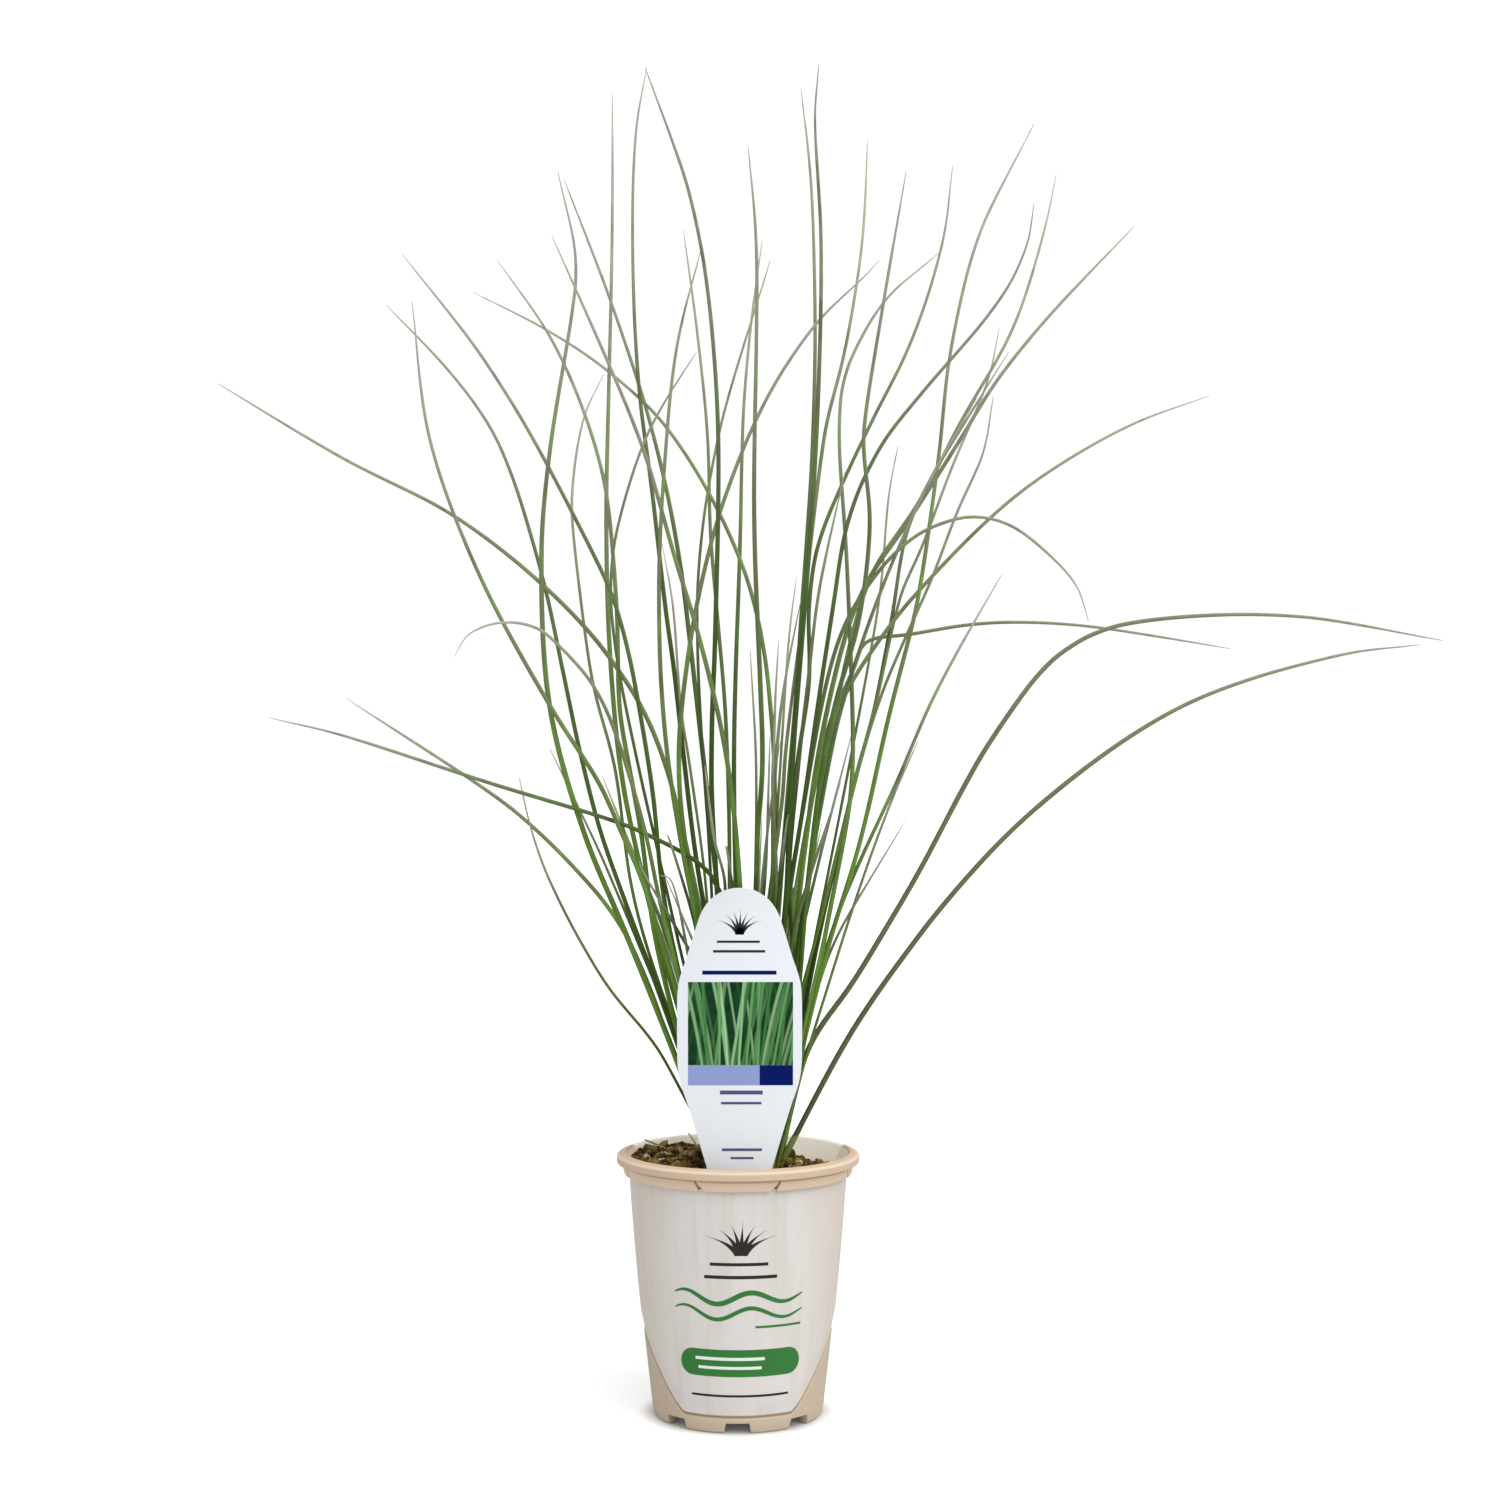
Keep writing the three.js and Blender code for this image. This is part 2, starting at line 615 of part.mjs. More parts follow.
// Thickness falls slowly at first and faster towards the tip
function radiiAlong(culm) {
  const travelled = [0];
  for (let index = 1; index < culm.line.length; index += 1) {
    travelled.push(travelled.at(-1) + culm.line[index].distanceTo(culm.line[index - 1]));
  }
  return travelled.map((distance) => {
    const share = (distance / travelled.at(-1)) ** taper;
    return THREE.MathUtils.lerp(Math.max(culm.radius, tipRadius), tipRadius, share);
  });
}

// The nearest points of two straight stretches, as their shares along each and the way between
function nearest(startA, endA, startB, endB) {
  const alongA = endA.clone().sub(startA);
  const alongB = endB.clone().sub(startB);
  const between = startA.clone().sub(startB);
  const a = alongA.dot(alongA);
  const e = alongB.dot(alongB);
  const b = alongA.dot(alongB);
  const c = alongA.dot(between);
  const f = alongB.dot(between);
  const spread = a * e - b * b;
  const clamp = THREE.MathUtils.clamp;
  let shareA = spread > 1e-9 ? clamp((b * f - c * e) / spread, 0, 1) : 0;
  let shareB = clamp((b * shareA + f) / e, 0, 1);
  shareA = clamp((b * shareB - c) / a, 0, 1);
  const way = startA.clone().addScaledVector(alongA, shareA)
    .sub(startB.clone().addScaledVector(alongB, shareB));
  return { shareA, shareB, way };
}

// Moves the point at a share along one stretch of a line, whose root stays where it is
function pushStretch(line, index, share, way, amount) {
  const below = index > 0 ? 1 - share : 0;
  const scale = amount / Math.max(below * below + share * share, 0.1);
  line[index].addScaledVector(way, scale * below);
  line[index + 1].addScaledVector(way, scale * share);
}

// Bends two culms apart wherever they would touch, and says whether it had to
function partCulms(one, other) {
  let touched = false;
  const sameTuft = one.tuft === other.tuft;
  for (let i = 0; i < one.line.length - 1; i += 1) {
    const lowA = Math.min(one.line[i].z, one.line[i + 1].z);
    const highA = Math.max(one.line[i].z, one.line[i + 1].z);
    for (let j = 0; j < other.line.length - 1; j += 1) {
      if (sameTuft && (i === 0 || j === 0)) {
        continue;
      }
      const startB = other.line[j];
      const endB = other.line[j + 1];
      if (Math.min(startB.z, endB.z) > highA + 4 || Math.max(startB.z, endB.z) < lowA - 4) {
        continue;
      }
      const found = nearest(one.line[i], one.line[i + 1], startB, endB);
      const wanted = 1.15 * (one.radii[i] + other.radii[j]) + culmGap;
      const distance = found.way.length();
      if (distance >= wanted) {
        continue;
      }
      touched = true;
      if (distance < 0.05) {
        const alongA = one.line[i + 1].clone().sub(one.line[i]);
        found.way.crossVectors(alongA, endB.clone().sub(startB));
      }
      const way = found.way.normalize();
      const amount = (wanted - distance) / 2 + 0.05;
      pushStretch(one.line, i, found.shareA, way, amount);
      pushStretch(other.line, j, found.shareB, way, -amount);
    }
  }
  return touched;
}

// Keeps a culm behind the tag wherever it passes it, and says whether it had to
function clearTag(culm) {
  const looks = 24;
  let touched = false;
  for (let i = 0; i < culm.line.length - 1; i += 1) {
    for (let look = 0; look <= looks; look += 1) {
      const share = look / looks;
      const point = culm.line[i].clone().lerp(culm.line[i + 1], share);
      const beside = Math.abs(point.x - tagCentre) > tagHalf + tagClear;
      const short = tagDepth + tagClear - point.y;
      if (!beside && point.z < tagTop + 2 * tagClear && short > 0) {
        pushStretch(culm.line, i, share, new THREE.Vector3(0, 1, 0), short + 0.05);
        touched = true;
      }
    }
  }
  return touched;
}

function bendClear(culms) {
  for (let round = 0; round < clearRounds; round += 1) {
    let touched = false;
    culms.forEach((culm, index) => {
      touched = clearTag(culm) || touched;
      for (const other of culms.slice(index + 1)) {
        touched = partCulms(culm, other) || touched;
      }
    });
    if (!touched) {
      return;
    }
  }
  throw new Error('the culms still touch');
}

// A tapered stem along a line, with a flat root and a pointed tip
function stem(line, radii) {
  const points = [];
  const faces = [];
  const rings = line.length - 1;
  let across = new THREE.Vector3(1, 0, 0);
  for (let ring = 0; ring < rings; ring += 1) {
    const before = line[Math.max(ring - 1, 0)];
    const along = line[ring + 1].clone().sub(before).normalize();
    across = across.addScaledVector(along, -across.dot(along)).normalize();
    const beside = along.clone().cross(across);
    for (let side = 0; side < culmSides; side += 1) {
      const angle = (side / culmSides) * fullTurn;
      const corner = line[ring].clone()
        .addScaledVector(across, 1.12 * radii[ring] * Math.cos(angle))
        .addScaledVector(beside, 1.12 * radii[ring] * Math.sin(angle));
      points.push(corner.toArray());
    }
  }
  points.push(line[rings].toArray());
  const tip = points.length - 1;
  for (let side = 0; side < culmSides; side += 1) {
    const next = (side + 1) % culmSides;
    for (let ring = 0; ring < rings - 1; ring += 1) {
      const here = ring * culmSides;
      const above = here + culmSides;
      faces.push([here + side, here + next, above + next]);
      faces.push([here + side, above + next, above + side]);
    }
    const lastRing = (rings - 1) * culmSides;
    faces.push([lastRing + side, lastRing + next, tip]);
  }
  for (let side = 1; side < culmSides - 1; side += 1) {
    faces.push([0, side + 1, side]);
  }
  return solidOf(geometryFrom(points, faces));
}

// A tuft: its short root crown with the culms that grow from it
function tuftSolid(tuft) {
  const knot = uprightCylinder(tuft.x, tuft.y, tuft.top - knotDeep, tuft.top, knotRadius, knotSides);
  const stems = tuft.culms.map((culm) => stem(culm.line, culm.radii));
  return wasm.Manifold.union([knot, ...stems]);
}

function growTufts() {
  const tufts = tuftPlaces();
  const listed = [...leftCulms, ...middleCulms, ...rightCulms];
  const rows = [...listed, ...shortRows(tuftCount * culmsInTuft - listed.length)];
  const drawBend = seededDraw(depthBend.seed);
  const culms = rows.map((row) => (
    culmOf(row, THREE.MathUtils.lerp(depthBend.least, depthBend.most, drawBend()))
  ));
  shareOut(culms, tufts);
  for (const culm of culms) {
    culm.line = middleLine(culm);
    culm.radii = radiiAlong(culm);
  }
  bendClear(culms);
  return tufts;
}

// Assembly

function named(name, solid, colour, roughness) {
  const material = new THREE.MeshStandardMaterial({ color: colour, roughness, metalness: 0 });
  const mesh = new THREE.Mesh(geometryOf(solid), material);
  mesh.name = name;
  return mesh;
}

const tufts = growTufts();
const shade = seededDraw(417);
const plant = new THREE.Group();
plant.add(named('pot', pot(), fibreColour, 0.85));
plant.add(named('label_sleeve', labelSleeve(), sleeveColour, 0.55));
plant.add(named('soil', soil(tufts), soilColour, 1));
plant.add(named('plant_tag', plantTag(), tagColour, 0.4));
tufts.forEach((tuft, index) => {
  const colour = culmDeep.clone().lerp(culmLight, shade());
  plant.add(named(`tuft_${String(index + 1).padStart(2, '0')}`, tuftSolid(tuft), colour, 0.6));
});

// The middle of the whole plant's box stands on the origin
const box = new THREE.Box3().setFromObject(plant);
const middle = box.getCenter(new THREE.Vector3());
plant.position.set(-middle.x, -middle.y, -box.min.z);

const part = new THREE.Group();
part.add(plant);

export default part;
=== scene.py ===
"""Potted soft rush: round striped culms, a moulded fibre pot with its label, soil and a plant tag."""

import math
import random

import bmesh
import bpy
import numpy as np
from bpy.props import BoolProperty, FloatProperty, FloatVectorProperty, IntProperty, PointerProperty
from mathutils import Matrix, Vector, noise


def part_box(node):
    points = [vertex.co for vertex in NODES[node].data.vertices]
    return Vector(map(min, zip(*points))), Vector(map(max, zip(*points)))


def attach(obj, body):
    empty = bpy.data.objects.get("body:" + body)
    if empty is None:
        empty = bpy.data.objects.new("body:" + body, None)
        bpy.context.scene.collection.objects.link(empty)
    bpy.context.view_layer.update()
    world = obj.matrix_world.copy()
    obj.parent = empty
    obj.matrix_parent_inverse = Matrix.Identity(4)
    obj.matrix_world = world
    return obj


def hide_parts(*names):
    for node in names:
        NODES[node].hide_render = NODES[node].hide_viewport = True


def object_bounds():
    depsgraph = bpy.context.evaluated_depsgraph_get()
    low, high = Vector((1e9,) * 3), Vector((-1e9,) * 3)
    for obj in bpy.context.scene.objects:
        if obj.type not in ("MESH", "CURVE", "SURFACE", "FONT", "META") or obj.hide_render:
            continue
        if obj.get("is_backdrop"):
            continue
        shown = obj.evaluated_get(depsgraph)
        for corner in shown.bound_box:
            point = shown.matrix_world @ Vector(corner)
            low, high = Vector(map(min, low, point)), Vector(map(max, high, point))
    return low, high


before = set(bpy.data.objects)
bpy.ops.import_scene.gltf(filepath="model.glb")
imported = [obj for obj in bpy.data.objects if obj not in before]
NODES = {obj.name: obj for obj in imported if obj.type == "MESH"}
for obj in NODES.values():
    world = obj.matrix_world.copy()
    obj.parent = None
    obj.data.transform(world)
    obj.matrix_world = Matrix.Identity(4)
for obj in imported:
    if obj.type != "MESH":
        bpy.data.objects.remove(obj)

bl_info = {
    "name": "Potted Soft Rush",
    "version": (1, 0, 0),
    "blender": (4, 5, 0),
    "location": "View3D > Sidebar > Rush",
    "description": "Makes the pot, label, soil, tag and culms of a potted soft rush",
    "category": "Object",
}

# Shared values. Shapes are given in millimetres about the pot's axis, with the foot at height 0.
MM = 0.001
POT_LOW, POT_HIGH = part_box("pot")
AXIS = np.array([(POT_LOW.x + POT_HIGH.x) / 2, (POT_LOW.y + POT_HIGH.y) / 2, 0])
TUFTS = sorted(name for name in NODES if name.startswith("tuft_"))
TURN = 2 * math.pi

# The photograph's eye: where it stands from the axis, its lens and the width of its picture
EYE = (5.9, -1200.0, 326.0)
LENS = 58.37
PICTURE_WIDE = 36.0

# Pot
FLOOR_UNDER = 4.4
FLOOR_TOP = 6.4
FLOOR_RING = 20.0
FLOOR_EDGE = 34.6
FOOT_INNER = 36.0
FOOT_OUTER = 40.4
FOOT_CORNER = 1.1
WALL_FOOT = (42.2, 4.4)
WALL_HEAD = (53.1, 119.6)
WALL_THICK = 2.0
WALL_BULGE = 0.9
# From this height up the bare fibre lies wholly behind the wall's line
WING_FULL = 6.5
FLARE_BOTTOM = 116.0
INNER_FOOT = 8.0
INNER_CORNER = 1.6
# Behind this the rim's crest is as pale as the lining
CREST_BACK = 16.0
SKIRT_BOTTOM = 117.7
SKIRT_INNER = 54.3
SKIRT_OUTER = 55.9
SKIRT_HEAD = 57.4
SKIRT_ROOF = 120.4
LIP_BOTTOM = 123.4
LIP_TOP = 127.2
LIP_RADIUS = 59.7
RIM_SHOULDER = (56.6, 128.4)
RIM_CREST = (55.4, 128.6)
RIM_INSIDE = (54.5, 127.8)
# A slot's two sides at the lip and at the skirt's lower edge, from its middle line outwards
SLOT_ANGLE = math.radians(18.8)
SLOT_HEAD = (2.1, 2.9)
SLOT_FOOT = (-2.5, 0.6)
SLOT_NEAR = 54.0
SLOT_FAR = 60.0
# How far the cutters of slots and notches reach under what they cut
CUT_DROP = 1.0
NOTCH_COUNT = 8
NOTCH_HEIGHT = 5.3
NOTCH_TOP = 11.2
NOTCH_BOTTOM = 13.4
NOTCH_NEAR = 34.4
NOTCH_FAR = 48.4
# Drain holes on a circle round one in the middle, and their cutters' middle height and length
DRAIN_COUNT = 4
DRAIN_RADIUS = 4.5
DRAIN_CIRCLE = 23.0
DRAIN_CUT = (8.0, 14.0)
# The ribs inside: degrees from the front or the back, their width in degrees, and their height
RIB_ANGLE = 69.0
RIB_WIDTH = 1.3
RIB_HIGH = 0.55
# The heights where the ribs start to fade and where they end
RIB_FADE = (96.0, 60.0)
# Degrees from the front or the back between which the pale lining gives way to bare fibre
LINING_END = (69.5, 71.0)

# Label
LABEL_TOP = 118.6
LABEL_LOW = 8.8
LABEL_ARCH = 34.0
LABEL_CORNER = math.radians(37.5)
LABEL_BACK = 0.75
LABEL_GAP = 0.08
LABEL_ROWS = 24
LABEL_SECTORS = 192
LABEL_INSET = 0.12
LABEL_ROUND = 0.15
# The lap at the back: its height, and the angles from the back between which it rises
LAP_HIGH = 0.1
LAP_TURN = (-0.17, -0.155)
# How far the label stands proud of the wall low down and high up, and its dip towards its lower edge
LABEL_SWELL = (0.35, 0.65)
SWELL_REACH = (20, 110)
LABEL_DIP = 0.5
LABEL_DIP_REACH = 11.0
# The crease under the label's lower edge as [distance under the edge, depth behind the wall's line]
CREASE = (
    (1.75, 0.2), (1.5, 0.42), (1.25, 0.68), (1.0, 0.85), (0.75, 0.92), (0.5, 0.85), (0.25, 0.7),
)
CREASE_TOP = 2.0
CREASE_MIDDLE = 0.75
CREASE_SPREAD = 0.6
WALL_UNDER = 0.85

# Soil
SOIL_LEFT = 125.2
SOIL_RIGHT = 117.4
SOIL_RELIEF = 0.9
SOIL_SHOULDER = 115.4
SOIL_RINGS = 64
SOIL_SECTORS = 168
# The clump on the soil as [x, y, height, spread]
MOUND = (23.0, 12.0, 5.0, 6.0)
# Big clods on the mound as [x, y, lift over the soil, size, tone]
CLODS = (
    (24, 8, 2.2, 3.4, 0.12), (29, 6, 1.2, 2.8, 0.05), (20, 14, 2.2, 3.2, 0.3),
    (26, 13, 2.4, 3.0, 0.16), (31, 12, 1.2, 2.6, 0.3), (22, 4, 1.4, 2.9, 0.2),
)

# Plant tag
TAG_CENTRE = 0.9
TAG_DEPTH = -35.0
TAG_FRONT = TAG_DEPTH - 0.4
# Right edge of the tag as [half width, height], from its point up to its crown
TAG_EDGE = (
    (1.6, 66), (16, 127), (24.8, 156), (28.2, 166), (29.6, 174), (29.9, 183), (29.9, 205),
    (29.4, 213), (28, 219), (25.4, 226.6), (20.6, 242), (18.4, 248), (15.2, 253), (11.2, 256.6),
    (6.2, 259.1), (0, 260),
)
PANEL_FOOT = 175.0

# Culms. How tall a tuft's root crown is in the solids, and how far over it its culms' rings are read
KNOT_TALL = 11.0
CULM_CLEAR = 8.0
# The solids' four-sided culms have their corners this much farther out than the round ones
CORNER_REACH = 1.07
# How far under the crown's top a culm is rooted
ROOT_UNDER = 5.0
POINT_RADIUS = 0.3
POINT_LENGTH = 46.0
# Culms thinner than this are a little drier
THIN_CULM = 0.92
# How far out a culm's tip is where the culm starts to look like an arching one, and where it fully does
ARCH_REACH = (225, 325)
# Tufts to the right of this have green sheaths
GREEN_FROM = 13.0
SHEATH_SIDES = 10
SHEATH_ROWS = 9

# Stage: distances from the axis between which the floor's glow grows, and the glow under the pot
GLOW_REACH = (39.5, 51.0)
GLOW_UNDER = 0.055
# How bright the backdrop is to the camera
BACKDROP = 1.03
# Half the floor's width, in metres
FLOOR_HALF = 12.0


def tint(red, green, blue):
    """A colour given as it looks on a screen, from 0 to 255, as the linear one that Blender wants."""
    linear = []
    for part in (red, green, blue):
        share = part / 255
        linear.append(share / 12.92 if share <= 0.04045 else ((share + 0.055) / 1.055) ** 2.4)
    return tuple(linear)


def ease(low, high, value):
    """0 below low, 1 above high, and smooth between them."""
    share = min(1.0, max(0.0, (value - low) / (high - low)))
    return share * share * (3 - 2 * share)


def colour_prop(label, words, shade):
    return FloatVectorProperty(
        name=label, description=words, subtype="COLOR", size=3, min=0, max=1, default=shade
    )


def length_prop(label, words, millimetres):
    return FloatProperty(
        name=label, description=words, unit="LENGTH", subtype="DISTANCE", min=0,
        default=millimetres * MM,
    )


def share_prop(label, words, value, most=1.0):
    return FloatProperty(name=label, description=words, subtype="FACTOR", min=0, max=most, default=value)


# Settings


class RushPotSettings(bpy.types.PropertyGroup):
    """Sizes and colours of the moulded fibre pot."""

    turns: IntProperty(name="Sectors", description="Sectors round the pot", default=192, min=48)
    edge: length_prop("Edge rounding", "Rounding of the slots' and notches' edges", 0.28)
    sunk: length_prop("Wing depth", "How far the bare fibre lies behind the wall's line", 0.1)
    fibre: colour_prop("Fibre", "Colour of the fibre at the rim", tint(203, 181, 157))
    foot: colour_prop("Foot", "Colour of the fibre near the foot", tint(196, 180, 157))
    fleck: colour_prop("Flecks", "Colour of the darker flecks in the fibre", tint(158, 126, 92))
    pale: colour_prop("Pale fibres", "Colour of the paler fibres", tint(226, 206, 180))
    crown: colour_prop("Rim top", "Colour of the rim's upper face", tint(222, 188, 158))
    # A painted highlight: lighter colour along the rim's upper outer edge, where light catches its
    # rounding.
    painted_highlight: colour_prop("Rim edge", "Colour of the rim's highlighted upper edge", tint(228, 208, 186))
    # Darker, browner fibre in the groove under the label's edge; the darkening is painted shade.
    crease: colour_prop("Crease", "Colour of the fibre in the crease at the label", tint(150, 124, 94))
    # Also the colour of the lining's painted glow.
    lining: colour_prop("Lining", "Colour of the pale inside", tint(255, 247, 236))


class RushLabelSettings(bpy.types.PropertyGroup):
    """Colours of the wrap round the pot and of the plain marks printed on it."""

    wrap: colour_prop("Wrap", "Colour of the wrap", tint(220, 215, 211))
    shade: colour_prop("Streaks", "Colour of the wrap's faint streaks", tint(213, 207, 200))
    # Painted shade and warm reflected light at the wrap's sides.
    side: colour_prop("Sides", "Warmer colour of the wrap at the pot's sides", tint(210, 197, 182))
    pale: colour_prop("Pale print", "Colour of the pale marks on the green one", tint(232, 238, 228))
    green: colour_prop("Green print", "Colour of the green marks", tint(58, 122, 62))
    dark: colour_prop("Dark print", "Colour of the dark marks", tint(52, 46, 46))
    printed: BoolProperty(name="Marks", description="Print the plain marks", default=True)


class RushSoilSettings(bpy.types.PropertyGroup):
    """Crumbs, moss and dry bits of the potting mix."""

    crumbs: IntProperty(name="Crumbs", description="Number of loose crumbs", default=1250, min=0)
    moss: IntProperty(name="Moss", description="Number of moss sprigs", default=620, min=0)
    straws: IntProperty(name="Straws", description="Number of straw bits", default=110, min=0)
    dark: colour_prop("Dark crumbs", "Colour of the damp crumbs", tint(52, 38, 18))
    brown: colour_prop("Brown crumbs", "Colour of the dry crumbs", tint(166, 138, 92))
    olive: colour_prop("Moss", "Colour of the moss", tint(166, 156, 80))
    straw: colour_prop("Straw", "Colour of the dry bits", tint(246, 228, 188))


class RushTagSettings(bpy.types.PropertyGroup):
    """The white plant tag and its plain printed panel."""

    thick: length_prop("Thickness", "Thickness of the tag", 0.8)
    edge: length_prop("Edge rounding", "Rounding of the tag's edges", 0.16)
    white: colour_prop("Tag", "Colour of the tag", tint(231, 235, 241))
    lavender: colour_prop("Left bar", "Colour of the left bar", tint(142, 155, 205))
    navy: colour_prop("Right bar", "Colour of the right bar", tint(1, 22, 96))
    blade: colour_prop("Panel blades", "Light blades of the green panel", tint(156, 198, 150))
    gap: colour_prop("Panel gaps", "Dark gaps of the green panel", tint(8, 36, 10))


class RushCulmSettings(bpy.types.PropertyGroup):
    """Thickness, tips and colours of the culms."""

    sides: IntProperty(name="Sides", description="Sides of a culm", default=10, min=5)
    step: length_prop("Step", "Distance between a culm's rings", 4.0)
    tip: length_prop("Tip radius", "Radius just under the tip", 0.14)
    full: share_prop("Upper fullness", "How much a culm swells in its upper part", 0.08)
    sheath: length_prop("Sheath", "Length of the longest sheath", 30.0)
    base: colour_prop("Base", "Green near the root", tint(110, 152, 46))
    middle: colour_prop("Middle", "Green of the long middle", tint(94, 130, 50))
    upper: colour_prop("Upper", "Green near the top", tint(126, 134, 102))
    tips: colour_prop("Tips", "Colour of the dry tips", tint(206, 200, 182))
    arch: colour_prop("Arch", "Grey green of the long arching culms", tint(136, 137, 112))
    bright: colour_prop("Bright", "Green of the light patches", tint(108, 158, 62))
    patch: colour_prop("Patches", "Brown green patches", tint(90, 92, 36))
    deep: colour_prop("Deep", "The darkest culms", tint(40, 62, 16))
    dry: colour_prop("Dry", "Colour of a thin old culm", tint(136, 134, 88))
    brown: colour_prop("Sheath root", "Colour of a sheath in the soil", tint(74, 46, 28))


class RushStageSettings(bpy.types.PropertyGroup):
    """Floor, even room light and key lamp."""

    floor: colour_prop("Floor", "Colour of the floor", tint(212, 212, 212))
    room: share_prop("Room light", "Strength of the even light all round", 0.72, 4.0)
    glow: share_prop("Floor glow", "How much the open floor is lit up for the camera", 0.46, 4.0)
    key: FloatProperty(name="Key lamp", description="Strength of the key lamp", default=1.9, min=0)
    rise: FloatProperty(
        name="Key height", description="Angle of the key lamp over the floor", subtype="ANGLE",
        default=math.radians(52),
    )
    side: FloatProperty(
        name="Key side", description="Angle of the key lamp to the right of the front",
        subtype="ANGLE", default=math.radians(35),
    )
    soft: FloatProperty(
        name="Key softness", description="Width of the key lamp as it is seen from the plant",
        subtype="ANGLE", default=math.radians(60),
    )


# Meshes


def linked(name, data):
    """A new object that stands in the scene."""
    made = bpy.data.objects.new(name, data)
    bpy.context.scene.collection.objects.link(made)
    return made


def in_millimetres(place):
    """A place in the scene as millimetres about the pot's axis."""
    return (np.array(place) - AXIS) / MM


def add_mesh(name, points, faces, **marks):
    """A mesh object from points in millimetres about the pot's axis, with numbers kept for each."""
    mesh = bpy.data.meshes.new(name)
    placed = np.asarray(points, float) * MM + AXIS
    mesh.from_pydata(placed.tolist(), [], faces)
    mesh.validate()
    made = linked(name, mesh)
    for key, values in marks.items():
        mark_points(made, key, values)
    return made


def from_shape(name, shape):
    """A mesh object from a shape that is drawn in millimetres about the pot's axis."""
    place = Matrix.Translation(AXIS) @ Matrix.Scale(MM, 4)
    bmesh.ops.recalc_face_normals(shape, faces=shape.faces)
    bmesh.ops.transform(shape, matrix=place, verts=shape.verts)
    mesh = bpy.data.meshes.new(name)
    shape.to_mesh(mesh)
    shape.free()
    return linked(name, mesh)


def bevelled(made, width, segments, degrees):
    """Rounds the edges where faces meet at more than an angle."""
    bevel = made.modifiers.new("edges", "BEVEL")
    bevel.width = width
    bevel.segments = segments
    bevel.limit_method = "ANGLE"
    bevel.angle_limit = math.radians(degrees)
    bpy.context.view_layer.update()


def finished(made, slot, materials, crease=40.0):
    """Applies a piece's modifiers, shades it, and sets it on the plant."""
    depsgraph = bpy.context.evaluated_depsgraph_get()
    mesh = bpy.data.meshes.new_from_object(made.evaluated_get(depsgraph), depsgraph=depsgraph)
    made.modifiers.clear()
    old = made.data
    made.data = mesh
    bpy.data.meshes.remove(old)
    mesh.name = made.name
    mesh.materials.clear()
    for material in materials:
        mesh.materials.append(material)
    mesh.shade_smooth()
    mesh.set_sharp_from_angle(angle=math.radians(crease))
    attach(made, "root")
    return made


def mark_points(made, name, values):
    """Keeps one number for each point, which a material reads."""
    layer = made.data.attributes.new(name, "FLOAT", "POINT")
    layer.data.foreach_set("value", np.asarray(values, np.float32))


def turned(made, joined=False):
    """Turns the faces outwards, after points at one place are joined where asked."""
    shape = bmesh.new()
    shape.from_mesh(made.data)
    if joined:
        bmesh.ops.remove_doubles(shape, verts=shape.verts, dist=1e-7)
    bmesh.ops.recalc_face_normals(shape, faces=shape.faces)
    shape.to_mesh(made.data)
    shape.free()
    return made


def rounded(corners, steps=4):
    """A path of [radius, height] whose corners are cut off by their third number in a soft curve."""
    path = []
    for index, (radius, z, cut) in enumerate(corners):
        if not cut:
            path.append((radius, z))
            continue
        here = Vector((radius, z))
        before = Vector(corners[index - 1][:2]) - here
        after = Vector(corners[index + 1][:2]) - here
        start = here + before.normalized() * min(cut, 0.45 * before.length)
        end = here + after.normalized() * min(cut, 0.45 * after.length)
        for step in range(steps + 1):
            share = step / steps
            spot = start * (1 - share) ** 2 + here * 2 * share * (1 - share) + end * share**2
            path.append(tuple(spot))
    return path


def ring_grid(section, angles, closed):
    """Points and faces of a surface round the pot's axis. Angle 0 is the front and grows towards +X."""
    rows = [section(angle) for angle in angles]
    size = len(rows[0])
    points = [
        (radius * math.sin(angle), -radius * math.cos(angle), z)
        for angle, row in zip(angles, rows)
        for radius, z in row
    ]
    faces = []
    for turn in range(len(angles)):
        here = turn * size
        there = (turn + 1) % len(angles) * size
        for row in range(size if closed else size - 1):
            after = (row + 1) % size
            faces.append((here + row, there + row, there + after, here + after))
    return points, faces


def even_angles(count):
    return [TURN * index / count for index in range(count)]


def polar(radius, angle):
    """A place on the level, where angle 0 points to +X."""
    return radius * math.cos(angle), radius * math.sin(angle)


def gathered(parts):
    """Several sets of points and faces as one."""
    points = []
    faces = []
    for more, shapes in parts:
        faces.extend(tuple(len(points) + k for k in shape) for shape in shapes)
        points.extend(more)
    return points, faces


def ring_faces(rings, sides, first=0):
    """The faces between rings of points that follow each other."""
    faces = []
    for ring in range(rings - 1):
        here = first + ring * sides
        for side in range(sides):
            after = (side + 1) % sides
            faces.append((here + side, here + after, here + sides + after, here + sides + side))
    return faces


def ring_points(route, radii, sides):
    """Rings of points round a route, all turned alike, as an array of ring, side and place."""
    rings = []
    across = np.array([1.0, 0.0, 0.0])
    last = len(route) - 1
    angles = np.arange(sides) * TURN / sides
    for index in range(len(route)):
        way = route[min(index + 1, last)] - route[max(index - 1, 0)]
        way /= np.linalg.norm(way)
        across = across - way * across.dot(way)
        across /= np.linalg.norm(across)
        beside = np.cross(way, across)
        ring = np.outer(np.cos(angles), across) + np.outer(np.sin(angles), beside)
        rings.append(route[index] + ring * radii[index])
    return np.array(rings)


def caps(rings, sides):
    """The faces that close the first and the last ring."""
    last = (rings - 1) * sides
    return [tuple(range(sides))[::-1], tuple(range(last, last + sides))]


def tube(route, radii, sides):
    """A closed round tube along a route."""
    points = ring_points(np.array(route), radii, sides).reshape(-1, 3).tolist()
    return points, ring_faces(len(route), sides) + caps(len(route), sides)


# Materials


